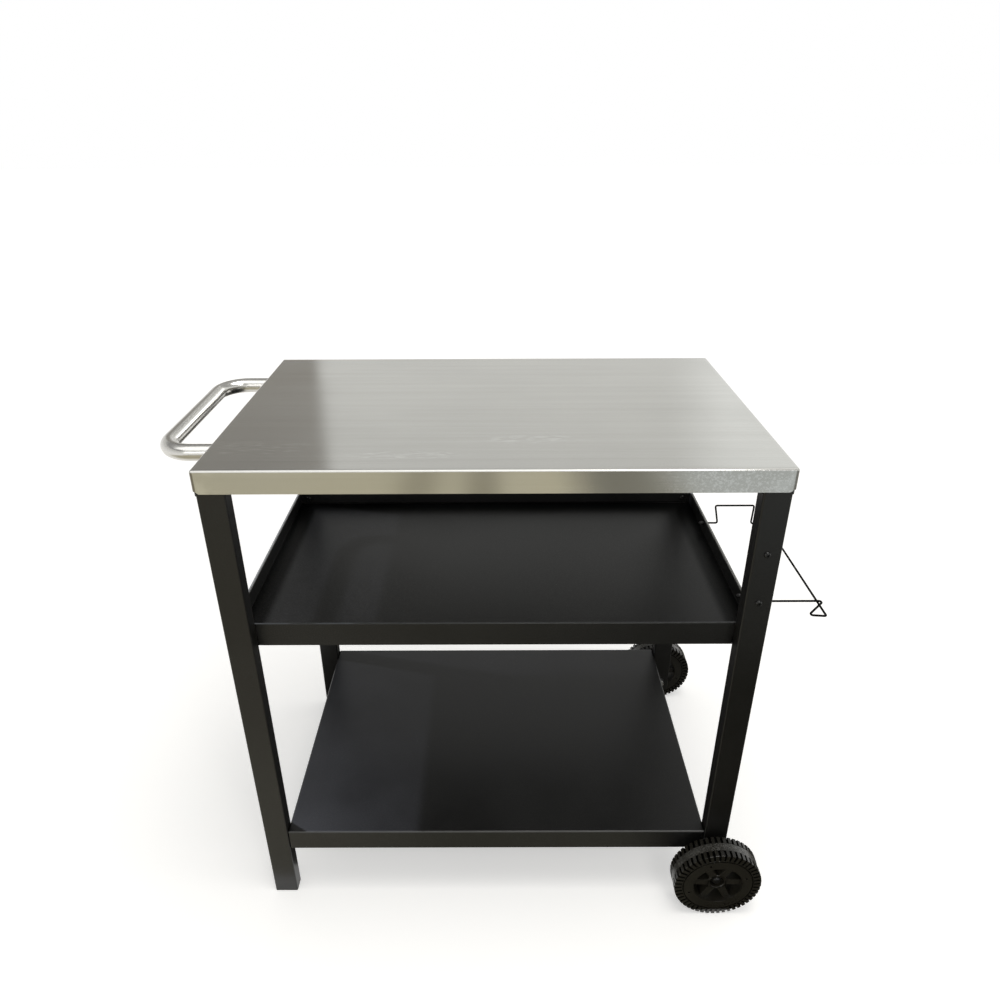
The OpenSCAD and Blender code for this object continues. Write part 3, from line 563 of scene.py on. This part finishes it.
leg_paint = grained_coat("leg_coat", (0.0028, 0.0026, 0.0022), (0.0100, 0.0094, 0.0082), 0.33, 0.4, 650,
                         0.00005)
leg_wide, leg_deep, leg_wall, leg_corner_r = 0.040, 0.025, 0.0015, 0.0025
socket_bolt_z, tray_bolt_z, shelf_bolt_z, axle_z = 0.82725, 0.563, 0.132, 0.075
screw_heights = (0.714, 0.632)
sleeve_hole, axle_hole, through_wall, through_leg = 0.00455, 0.0052, 0.003, 0.02
for side, sx in (("left", -1), ("right", 1)):
    for end, sy in (("front", -1), ("rear", 1)):
        node = f"leg_{end}_{side}"
        low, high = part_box(node)
        leg = block(f"black_{node}", low, high)
        round_off(leg, leg_corner_r, 5, lambda middle, way: abs(way.z) > 0.9)
        pick(leg, "FACE", lambda middle, way: abs(way.z) > 0.9)
        bpy.ops.mesh.delete(type="FACE")
        put_down()
        apply(leg, "SOLIDIFY", thickness=leg_wall, offset=-1)
        centre = (low + high) / 2
        inner_x, inner_y = (low.x if sx > 0 else high.x), (low.y if sy > 0 else high.y)
        outer_y = high.y if sy > 0 else low.y
        holes = [((inner_x, centre.y, z), (through_wall, 0, 0), sleeve_hole, 32)
                 for z in (socket_bolt_z, shelf_bolt_z)]
        holes.append(((centre.x, inner_y, tray_bolt_z), (0, through_wall, 0), sleeve_hole, 32))
        if sx > 0:
            holes.append(((centre.x, centre.y, axle_z), (0, through_leg, 0), axle_hole, 32))
            if sy < 0:
                holes += [((centre.x, outer_y, z), (0, through_wall, 0), sleeve_hole, 32)
                          for z in screw_heights]
        drill(leg, holes)
        finish(leg, leg_paint, "cart", node, 30)
leg_low, leg_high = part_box("leg_front_right")
leg_x, leg_y = (leg_low.x + leg_high.x) / 2, (leg_low.y + leg_high.y) / -2

# Sockets, threaded sleeves and end caps of the legs
# Black sheet sleeves under the top hold the leg tops. Plated threaded sleeves sit in the drilled
# holes, and moulded caps and plugs close the lower ends. They keep their plain shapes.
coat_with(leg_paint, "leg_socket_front_left", "leg_socket_front_right", "leg_socket_rear_left",
          "leg_socket_rear_right")
plated_steel, tree, plating = new_finish("plated_steel")
spot = spot_on(tree)
haze = noise(tree, spot, 220.0, 3.0)
tint = ramp_between(tree, noise(tree, spot, 60.0, 2.0), 0.3, 0.7)
feed(plating, {"Base Color": blend(tree, tint, (0.58, 0.575, 0.55), (0.66, 0.66, 0.67)), "Metallic": 1,
               "Roughness": ramp_between(tree, haze, 0.35, 0.65, 0.22, 0.38),
               "Normal": bump(tree, haze, 0.12, 0.0001)})
coat_with(plated_steel, "rivet_nuts")
moulded_black = grained_coat("moulded_black", (0.010, 0.0098, 0.0092), (0.016, 0.0156, 0.0148), 0.42, 0.56,
                             900, 0.0001)
coat_with(moulded_black, "foot_cap_front_left", "foot_cap_rear_left", "leg_plug_front_right",
          "leg_plug_rear_right")


# Handle
# Polished stainless tube of 25.4 mm, bent to a flat bow. Its ends stand square on the left skirt,
# where bolts from inside the skirt hold them by threaded inserts.
def pull(*way):
    """Draws what is selected out of its piece along a way."""
    bpy.ops.mesh.extrude_region_move(TRANSFORM_OT_translate={"value": way})


handle_low, handle_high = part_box("handle")
tube_r, tube_wall, bend_r, bend_steps = 0.0127, 0.0015, 0.045, 16
handle_z = (handle_low.z + handle_high.z) / 2
bend_x = handle_low.x + tube_r + bend_r
arm_y = handle_high.y - tube_r
bend_y = arm_y - bend_r
take()
bpy.ops.mesh.primitive_circle_add(vertices=40, radius=tube_r, location=(handle_high.x, -arm_y, handle_z),
                                  rotation=(0, math.pi / 2, 0))
handle = bpy.context.object
handle.name = handle.data.name = "bent_handle"
bpy.ops.object.transform_apply(location=True, rotation=True, scale=True)
pick(handle, "VERT", lambda middle, way: True)
pull(bend_x - handle_high.x, 0, 0)
bpy.ops.mesh.spin(steps=bend_steps, angle=math.pi / 2, center=(bend_x, -bend_y, handle_z), axis=(0, 0, 1))
pull(0, 2 * bend_y, 0)
bpy.ops.mesh.spin(steps=bend_steps, angle=math.pi / 2, center=(bend_x, bend_y, handle_z), axis=(0, 0, 1))
pull(handle_high.x - bend_x, 0, 0)
bpy.ops.mesh.select_all(action="SELECT")
bpy.ops.mesh.remove_doubles(threshold=1e-6)
bpy.ops.mesh.normals_make_consistent(inside=False)
put_down()
top_face = max(handle.data.polygons, key=lambda face: face.center.z)
if top_face.normal.z < 0:
    handle.data.flip_normals()
apply(handle, "SOLIDIFY", thickness=tube_wall, offset=-1)

polished, tree, tube = new_finish("polished_tube")
spot = spot_on(tree)
lines = use_effect(tree, brushing, move(tree, "MULTIPLY", spot, (1, 0.01, 1)), "Lines per metre", 160)
smears = noise(tree, spot, 14.0, 1.0)
feed(tube, {"Base Color": blend(tree, lines["Shade"], (0.60, 0.585, 0.555), (0.66, 0.65, 0.625)),
            "Metallic": 1, "Roughness": ramp_between(tree, smears, 0.3, 0.7, 0.22, 0.28),
            "Normal": bump(tree, smears, 0.02, 0.0001)})
bent_handle = finish(handle, polished, "cart", "handle", 40)
for name, at, aim_x, size, power in (
        ("side", (0.8, 2.6, 1.25), -0.5, 0.9, 6), ("top", (-1.3, -0.7, 3.0), -0.45, 2.0, 16),
        ("front", (-1.5, -2.6, 1.9), -0.45, 0.9, 5)):
    lamp = soft_light(f"handle_{name}_lamp", at, (aim_x, 0, 0.83), size, power, white)
    light_list(lamp, bent_handle, "INCLUDE")
coat_with(plated_steel, "handle_bolts")
coat_with(moulded_black, "handle_insert_front", "handle_insert_rear")


# Tray
# Black-coated pan between the legs. Its walls are folded double, so the rim is a narrow round-edged
# band, and the floor lies 28 mm below it. Bolts hold its long walls to the legs.
tray_low, tray_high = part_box("tray")
rim_w, tray_depth, tray_sheet, tray_corner_r = 0.0036, 0.028, 0.001, 0.005
rim_r, foot_r, hem_gap = 0.0011, 0.0012, 0.0006
tray_floor_z = tray_high.z - tray_depth
under_z = tray_floor_z - tray_sheet
half_tray = (tray_high - tray_low) / 2
tray = block("black_tray", tray_low, tray_high)
round_off(tray, tray_corner_r, 6, lambda middle, way: abs(way.z) > 0.9)
pick(tray, "FACE", lambda middle, way: way.z > 0.9)
bpy.ops.mesh.inset(thickness=rim_w)
pull(0, 0, -tray_depth)
pick(tray, "FACE", lambda middle, way: way.z < -0.9)
bpy.ops.mesh.inset(thickness=tray_sheet)
pull(0, 0, under_z - tray_low.z)
bpy.ops.mesh.inset(thickness=rim_w - 2 * tray_sheet)
pick(tray, "FACE", lambda middle, way: way.z < -0.9 and abs(middle.z - under_z) < 1e-4
     and max(abs(middle.x - middle_x) - half_tray.x, abs(middle.y) - half_tray.y) > -0.01)
pull(0, 0, tray_depth - hem_gap)
for height, radius in ((tray_high.z, rim_r), (tray_floor_z, foot_r)):
    round_off(tray, radius, 3, lambda middle, way: abs(middle.z - height) < 1e-5 and abs(way.z) < 0.1)
put_down()


def lay_wear_or_light(material, share, colour):
    """Lays a colour over a finish where a share says so: wear and dirt, and also painted highlights and painted
    shade.
    """
    coat = material.node_tree.nodes["Principled BSDF"]
    plain = coat.inputs["Base Color"].links[0].from_socket
    feed(coat, {"Base Color": blend(material.node_tree, share, plain, colour)})


tray_paint = grained_coat("tray_coat", (0.0050, 0.0050, 0.0048), (0.0200, 0.0196, 0.0188), 0.36, 0.42, 600,
                          0.00005, 0.4)
tree = tray_paint.node_tree
spot_x, spot_y, spot_z = split(tree, spot_on(tree))
# How far a point lies inside the end walls, inside the back wall, and under the rim
from_end = reckon(tree, "SUBTRACT", spot_x, middle_x)
from_end = reckon(tree, "SUBTRACT", half_tray.x, reckon(tree, "ABSOLUTE", from_end))
from_back = reckon(tree, "SUBTRACT", tray_high.y, spot_y)
under_rim = reckon(tree, "SUBTRACT", tray_high.z, spot_z)
# The rim's rounded top is painted paler all round: a painted highlight where the rim catches the light
lay_wear_or_light(tray_paint, ramp_between(tree, under_rim, 0.0012, 0.0003), (0.034, 0.036, 0.036))
# The rims of the end walls are painted paler still: a painted highlight where they mirror the bright room at the
# sides
end_rim_highlight = both_of(tree, ramp_between(tree, from_end, 0.0045, 0.0040),
                  ramp_between(tree, from_end, 0.0004, 0.0012))
end_rim_highlight = both_of(tree, end_rim_highlight, ramp_between(tree, under_rim, 0.0034, 0.0026))
lay_wear_or_light(tray_paint, end_rim_highlight, (0.20, 0.20, 0.19))
# The floor is made darker along the end walls and the back wall through a high metallic share: painted shade
# where the walls shade it
wall_shade = reckon(tree, "MAXIMUM", ramp_between(tree, from_end, 0.046, 0.030),
                ramp_between(tree, from_back, 0.055, 0.015))
wall_shade = both_of(tree, wall_shade, ramp_between(tree, spot_z, tray_floor_z + 0.004, tray_floor_z + 0.001))
feed(tree.nodes["Principled BSDF"], {"Metallic": both_of(tree, wall_shade, 0.9)})
black_tray = finish(tray, tray_paint, "cart", "tray", 30)
tray_lamp = soft_light("tray_lamp", small_lamp.location, (0, 0, 0.5), 0.06, 56, (0.82, 0.86, 1))
tray_lamp.visible_glossy = False
light_list(tray_lamp, black_tray, "INCLUDE")

# Lower shelf
# Black-coated sheet folded down all round, upside down against the tray, bolted between the legs.
# Its front fold is painted paler along the bend, a painted highlight.
shelf_low, shelf_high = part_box("lower_shelf")
shelf = folded_pan("black_shelf", shelf_low, shelf_high, fold_r, sheet)
shelf_lip_w, shelf_lip_stop = 0.010, 0.013
join([shelf] + lip_strips("shelf_lip", shelf_low, shelf_high, shelf_lip_w, sheet, shelf_lip_stop,
                          shelf_lip_stop))
shelf_paint = grained_coat("shelf_coat", (0.0018, 0.0017, 0.0016), (0.0115, 0.0112, 0.0104), 0.33, 0.4, 600,
                           0.00005)
tree = shelf_paint.node_tree
spot_x, spot_y, spot_z = split(tree, spot_on(tree))
# Painted highlight: the front fold is painted paler where it catches the light
fold_highlight = both_of(tree, ramp_between(tree, spot_z, shelf_high.z - 0.0028, shelf_high.z - 0.0018),
                     ramp_between(tree, spot_y, shelf_low.y + 0.0026, shelf_low.y + 0.0016))
lay_wear_or_light(shelf_paint, fold_highlight, (0.05, 0.05, 0.048))
black_shelf = finish(shelf, shelf_paint, "cart", "lower_shelf", 30)
light_list(small_lamp, black_shelf, "INCLUDE")


# Button-head bolts
# M6 screws with low round heads and hexagon sockets, blackened. Four hold the tray, four the shelf and
# four the sockets, and two sit in the front face of the front right leg.
def turned(name, outline, steps):
    """Solid turned about the Z axis from its half outline of radius and height."""
    take()
    bpy.ops.mesh.primitive_plane_add(size=0.001)
    piece = bpy.context.object
    piece.name = piece.data.name = name
    pick(piece, "VERT", lambda middle, way: True)
    bpy.ops.mesh.merge(type="CENTER")
    bpy.ops.transform.translate(value=(outline[0][0], 0, outline[0][1]))
    for (r0, z0), (r1, z1) in zip(outline, outline[1:]):
        bpy.ops.mesh.extrude_vertices_move(TRANSFORM_OT_translate={"value": (r1 - r0, 0, z1 - z0)})
    bpy.ops.mesh.select_all(action="SELECT")
    bpy.ops.mesh.spin(steps=steps, angle=math.tau, center=(0, 0, 0), axis=(0, 0, 1))
    bpy.ops.mesh.select_all(action="SELECT")
    bpy.ops.mesh.remove_doubles(threshold=1e-6)
    bpy.ops.mesh.normals_make_consistent(inside=False)
    put_down()
    return piece


def copy_to(piece, name, matrix):
    """Copy of a piece with its own mesh, moved by a matrix."""
    twin = bpy.data.objects.new(name, piece.data.copy())
    twin.data.transform(matrix)
    bpy.context.scene.collection.objects.link(twin)
    return twin


def put_in(part, name, at, way):
    """Copy of a part drawn along Z, set at a place and turned to a direction."""
    return copy_to(part, name, Matrix.Translation(at) @ Vector(way).to_track_quat("Z", "X").to_matrix().to_4x4())


def clear_away(*parts):
    """Removes patterns that have been copied."""
    for part in parts:
        bpy.data.objects.remove(part, do_unlink=True)


head_r, head_h, shank_r, thread_in = 0.00525, 0.0033, 0.003, 0.010
key_r, key_deep = 0.0023, 0.002


def button_bolt(grip):
    """Bolt along Z, its head below the origin and its shank above it."""
    dome = [(0, -head_h), (0.0032, -head_h), (0.0035, -head_h + 0.0001), (0.0042, -head_h + 0.0007),
            (0.0048, -head_h + 0.0016), (0.0051, -head_h + 0.0025), (head_r, -0.0004), (head_r, 0), (shank_r, 0)]
    bolt = turned("bolt", dome + [(shank_r, grip - 0.0005), (shank_r - 0.0005, grip), (0, grip)], 32)
    drill(bolt, [((0, 0, -head_h), (0, 0, key_deep), key_r, 6)])
    return bolt


blackened = grained_coat("blackened_bolt", (0.004, 0.004, 0.004), (0.008, 0.008, 0.0075), 0.24, 0.34, 900,
                         0.00003)
half_span = leg_x - middle_x
seat_gap, sheet_gap, plate_gap = 0.0002, 0.0013, 0.0014
corners = [(sx, sy) for sx in (-1, 1) for sy in (-1, 1)]
for name, grip, places in (
        ("tray_bolt", thread_in + rim_w + seat_gap,
         [((middle_x + sx * half_span, sy * (tray_high.y - rim_w), tray_bolt_z), (0, sy, 0))
          for sx, sy in corners]),
        ("shelf_bolt", thread_in + sheet_gap,
         [((middle_x + sx * (half_span - leg_wide / 2 - sheet_gap), sy * leg_y, shelf_bolt_z), (sx, 0, 0))
          for sx, sy in corners]),
        ("socket_bolt", thread_in + sheet_gap,
         [((middle_x + sx * (half_span - leg_wide / 2 - plate_gap), sy * leg_y, socket_bolt_z), (sx, 0, 0))
          for sx, sy in corners]),
        ("screw", thread_in, [((leg_x, -leg_y - leg_deep / 2, z), (0, 1, 0)) for z in screw_heights])):
    bolt = button_bolt(grip)
    bolts = join([put_in(bolt, name, at, way) for at, way in places])
    clear_away(bolt)
    node = "accessory_screws" if name == "screw" else name + "s"
    finish(bolts, blackened, "cart", node)

# Bag holder
# One black-coated wire of 3.5 mm, bent into a back arm with an upright clip, an outer bar, a tie loop
# laid over the bar and a front arm. Both ends go through the tray's right wall.
wire_r, wire_bend = 0.00175, 0.003
wire_z, wire_high = 0.568, 0.573
back_end_y, front_end_y = 0.106, -0.148
wire_corners = [Vector((middle_x + x, y, z)) for x, y, z in (
    (0.3925, back_end_y, wire_z), (0.4251, 0.106, wire_z), (0.4201, 0.116, 0.600), (0.4941, 0.116, 0.600),
    (0.4891, 0.106, wire_z), (0.5171, 0.075, wire_z), (0.5171, -0.197, wire_z), (0.4906, -0.194, wire_z),
    (0.5246, -0.163, wire_high), (0.4301, -0.163, wire_high), (0.4121, -0.148, wire_high),
    (0.3925, front_end_y, wire_high))]
wire_line = [wire_corners[0]]
for before, corner, after in zip(wire_corners, wire_corners[1:], wire_corners[2:]):
    arrive, leave = (corner - before).normalized(), (after - corner).normalized()
    bend = arrive.angle(leave)
    side = (leave - arrive * arrive.dot(leave)).normalized()
    start = corner - arrive * wire_bend * math.tan(bend / 2)
    steps = max(2, math.ceil(bend / math.radians(12)))
    for i in range(steps + 1):
        a = bend * i / steps
        wire_line.append(start + arrive * wire_bend * math.sin(a) + side * wire_bend * (1 - math.cos(a)))
wire_line.append(wire_corners[-1])
wire_curve = bpy.data.curves.new("bag_wire", "CURVE")
wire_curve.dimensions = "3D"
wire_curve.bevel_depth = wire_r
wire_curve.bevel_resolution = 3
wire_curve.use_fill_caps = True
line = wire_curve.splines.new("POLY")
line.points.add(len(wire_line) - 1)
for point, at in zip(line.points, wire_line):
    point.co = (*at, 1)
bag_wire = bpy.data.objects.new("bag_wire", wire_curve)
bpy.context.scene.collection.objects.link(bag_wire)
take(bag_wire)
bpy.ops.object.convert(target="MESH")
wire_paint = grained_coat("wire_coat", (0.0015,) * 3, (0.0030,) * 3, 0.5, 0.6, 900, 0.00004, 0.06)
finish(bpy.context.object, wire_paint, "cart", "bag_holder", 50)

# Nuts on the bag holder
# Round-nosed plastic nuts hold the wire's ends inside the tray wall, thin hexagon nuts lock it outside.
# Both are threaded on the wire.
wall_x = tray_high.x
nose = turned("nose", [(0, 0.009), (0.0011, 0.0089), (0.0022, 0.0083), (0.0030, 0.0073), (0.0035, 0.0060),
                       (0.00375, 0.0045), (0.00375, 0.0003), (0.0035, 0), (0.00185, 0), (0.00185, 0.0062),
                       (0, 0.0062)], 28)
wire_ends = ((back_end_y, wire_z), (front_end_y, wire_high))
noses = [put_in(nose, "nose", (wall_x - rim_w, y, z), (-1, 0, 0)) for y, z in wire_ends]
clear_away(nose)
finish(join(noses), moulded_black, "cart", "bag_holder_cap_nuts")
lock_nuts, nut_wide, nut_thick, nut_edge, nut_bore = [], 0.007, 0.0032, 0.0003, 0.00185
for y, z in wire_ends:
    nut = rod("lock_nut", (wall_x, y, z), (wall_x + nut_thick, y, z), nut_wide / math.sqrt(3), 6)
    round_off(nut, nut_edge, 2, lambda middle, way: abs(way.x) < 0.5)
    put_down()
    drill(nut, [((wall_x + nut_thick / 2, y, z), (nut_thick, 0, 0), nut_bore, 24)])
    lock_nuts.append(nut)
finish(join(lock_nuts), blackened, "cart", "bag_holder_lock_nuts")

# Wheels
# Moulded black plastic, 150 mm across: a smooth middle band between two lugged shoulders, ribs down
# the sidewalls, a flat disc with a ring groove and four small holes, six spokes and a deep hub.
wheel_w, wheel_r, wheel_in, lug_count, spoke_count = 0.040, 0.075, 0.2615, 48, 6
lug_in, lug_half, lug_tip, lug_long, lug_taper = 0.0612, 0.00275, 0.0018, 0.0128, 0.82
spoke_in, spoke_out, spoke_half, spoke_set_in, spoke_edge = 0.0145, 0.0425, 0.0065, 0.007, 0.0012
half_outline = [(0.042, 0.0008), (0.0422, 0.0002), (0.0428, 0), (0.0590, 0), (0.0592, 0.0010), (0.0608, 0.0010),
                (0.0610, 0.0001), (0.0618, 0.0001), (0.0621, 0.0015), (0.0708, 0.0015), (0.0717, 0.0018),
                (0.0720, 0.0026), (0.0720, 0.0127), (0.0742, 0.0128), (0.0745, 0.0133)]
whole_outline = half_outline + [(r, wheel_w - z) for r, z in reversed(half_outline)] + [half_outline[0]]
body = turned("wheel_body", whole_outline, 96)
dimple_ring, dimple_r, dimple_deep, dimple_turn = 0.051, 0.0025, 0.0025, math.radians(20)
drill(body, [((dimple_ring * math.cos(a), dimple_ring * math.sin(a), z), (0, 0, dimple_deep), dimple_r, 20)
             for a in (dimple_turn + i * math.pi / 2 for i in range(4)) for z in (0, wheel_w)])
lug = block("lug", (lug_in, -lug_half, 0), (wheel_r, lug_half, lug_long))
pick(lug, "FACE", lambda middle, way: way.x < -0.9)
bpy.ops.transform.resize(value=(1, lug_taper, 1))
round_off(lug, lug_tip, 2, lambda middle, way: abs(way.y) > 0.9 and middle.x > 0.07 and middle.z < 0.005)
put_down()
lugs, over = [], Matrix.Translation((0, 0, wheel_w)) @ Matrix.Rotation(math.pi, 4, "X")
for i in range(lug_count):
    around = Matrix.Rotation(i * math.tau / lug_count, 4, "Z")
    lugs += [copy_to(lug, "lug", around), copy_to(lug, "lug", around @ over)]
spoke = block("spoke", (spoke_in, -spoke_half, spoke_set_in), (spoke_out, spoke_half, wheel_w - spoke_set_in))
round_off(spoke, spoke_edge, 2, lambda middle, way: abs(way.x) > 0.9)
put_down()
spokes = [copy_to(spoke, "spoke", Matrix.Rotation(i * math.tau / spoke_count, 4, "Z"))
          for i in range(spoke_count)]
clear_away(lug, spoke)
hub = turned("hub", [(0.00805, -0.0056), (0.0162, -0.0056), (0.017, -0.0048), (0.017, 0.0322),
                     (0.0163, 0.033), (0.0135, 0.033), (0.013, 0.0325), (0.013, 0.0215), (0.00805, 0.0215),
                     (0.00805, -0.0056)], 48)
wheel = join([body, hub] + spokes + lugs)
wheel_plastic = grained_coat("wheel_plastic", (0.0070, 0.0063, 0.0044), (0.0250, 0.0225, 0.0160), 0.22, 0.36,
                             600, 0.0002)
tree = wheel_plastic.node_tree
spot = spot_on(tree)
from_axle = move(tree, "MULTIPLY", move(tree, "SUBTRACT", spot, (leg_x, 0, axle_z)), (1, 0, 1))
radius = move(tree, "LENGTH", from_axle)
across = reckon(tree, "ABSOLUTE", split(tree, spot)["Y"])
off_middle = reckon(tree, "ABSOLUTE", reckon(tree, "SUBTRACT", across, wheel_in + wheel_w / 2))
# The smooth middle band is scuffed by the ground; its pale scuffs are also a painted highlight for the light the
# band catches from above
band = both_of(tree, ramp_between(tree, off_middle, 0.0074, 0.0062), ramp_between(tree, radius, 0.0728, 0.0738))
scuffs_and_highlight = ramp_between(tree, noise(tree, spot, 420.0, 3.0, 0.7), 0.46, 0.62, 0.1, 0.9)
lay_wear_or_light(wheel_plastic, both_of(tree, band, scuffs_and_highlight), (0.085, 0.083, 0.076))
# Painted shade darkens the gaps between the lugs and the ring groove of the disc, laid in as a near-black colour
# with a high metallic share
gaps = both_of(tree, ramp_between(tree, radius, 0.0610, 0.0616), ramp_between(tree, radius, 0.0734, 0.0724))
gaps = both_of(tree, gaps, ramp_between(tree, off_middle, 0.0193, 0.0188))
groove = both_of(tree, ramp_between(tree, radius, 0.0588, 0.0592), ramp_between(tree, radius, 0.0612, 0.0608))
groove = both_of(tree, groove, ramp_between(tree, off_middle, 0.0199, 0.0194))
recess_shade = reckon(tree, "MAXIMUM", gaps, groove)
lay_wear_or_light(wheel_plastic, recess_shade, (0.0010, 0.0009, 0.0007))
feed(tree.nodes["Principled BSDF"], {"Metallic": both_of(tree, recess_shade, 0.8)})
low_lamp = soft_light("low_lamp", (-0.7, -1.5, 0.55), (0.38, -0.28, 0.07), 0.3, 7, (1, 1, 0.97))
for end, sy in (("front", -1), ("rear", 1)):
    outward = Matrix.Translation((leg_x, sy * wheel_in, axle_z)) @ Matrix.Rotation(-sy * math.pi / 2, 4, "X")
    twin = copy_to(wheel, f"moulded_wheel_{end}", outward)
    finish(twin, wheel_plastic, f"wheel_{end}", f"wheel_{end}")
    light_list(low_lamp, twin, "INCLUDE")
clear_away(wheel)
# The plain bearings pressed into the hubs keep their shapes
bearing_grey = grained_coat("bearing_grey", (0.16, 0.16, 0.155), (0.21, 0.21, 0.20), 0.35, 0.48, 900, 0.0001)
coat_with(bearing_grey, "wheel_bush_front", "wheel_bush_rear")

# Axles
# M10 bolts through the short legs, with plated heads behind, black washers and black cap nuts that
# sit down in the wheel hubs.
axle_back, leg_face, nut_at, washer_t, axle_r = 0.2266, 0.2536, 0.2853, 0.002, 0.005
hex_wide, hex_head_h, low_nut_h, dome_r, dome_h, cap_bore = 0.016, 0.0064, 0.005, 0.0072, 0.004, 0.0051
end_past_nut = 0.005


def hexagon(name, high, chamfer):
    """Six-sided block along Z, its upper corners taken off."""
    piece = rod(name, (0, 0, 0), (0, 0, high), hex_wide / math.sqrt(3), 6)
    round_off(piece, chamfer, 2, lambda middle, way: abs(way.z) < 0.5 and middle.z > high - 1e-5)
    put_down()
    return piece


head = hexagon("head", hex_head_h, 0.0007)
shaft_long = nut_at + end_past_nut - axle_back
shaft = turned("shaft", [(0, 0), (axle_r, 0), (axle_r, shaft_long - 0.001), (0.0042, shaft_long),
                         (0, shaft_long)], 40)
low_nut = hexagon("low_nut", low_nut_h, 0.0004)
drill(low_nut, [((0, 0, low_nut_h / 2), (0, 0, low_nut_h), cap_bore, 32)])
dome_arc = [(dome_r * math.cos(a), low_nut_h + dome_h * math.sin(a))
            for a in (math.radians(15 * i) for i in range(7))]
dome_foot, dome_inside = [(cap_bore, 0.0049), (dome_r, 0.0049)], [(0, 0.0052), (cap_bore, 0.0052)]
dome = turned("dome", dome_foot + dome_arc + dome_inside + [dome_foot[0]], 40)
cap_nut = join([low_nut, dome])
ring = turned("ring", [(0.0052, 0), (0.0107, 0), (0.011, 0.0003), (0.011, washer_t - 0.0003), (0.0107, washer_t),
                       (0.0052, washer_t), (0.0052, 0)], 48)
washers = []
for end, sy in (("front", -1), ("rear", 1)):
    out = (0, sy, 0)
    axle = join([put_in(shaft, "shaft", (leg_x, sy * axle_back, axle_z), out),
                 put_in(head, "head", (leg_x, sy * axle_back, axle_z), (0, -sy, 0))])
    axle.name = axle.data.name = f"axle_{end}"
    finish(axle, plated_steel, "cart", f"axle_bolt_{end}")
    nut = put_in(cap_nut, f"axle_cap_nut_{end}", (leg_x, sy * nut_at, axle_z), out)
    finish(nut, blackened, "cart", f"axle_nut_{end}")
    washers += [put_in(ring, "washer", (leg_x, sy * y, axle_z), out)
                for y in (axle_back, leg_face, nut_at - washer_t)]
clear_away(head, shaft, cap_nut, ring)
finish(join(washers), blackened, "cart", "axle_washers")

low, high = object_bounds()
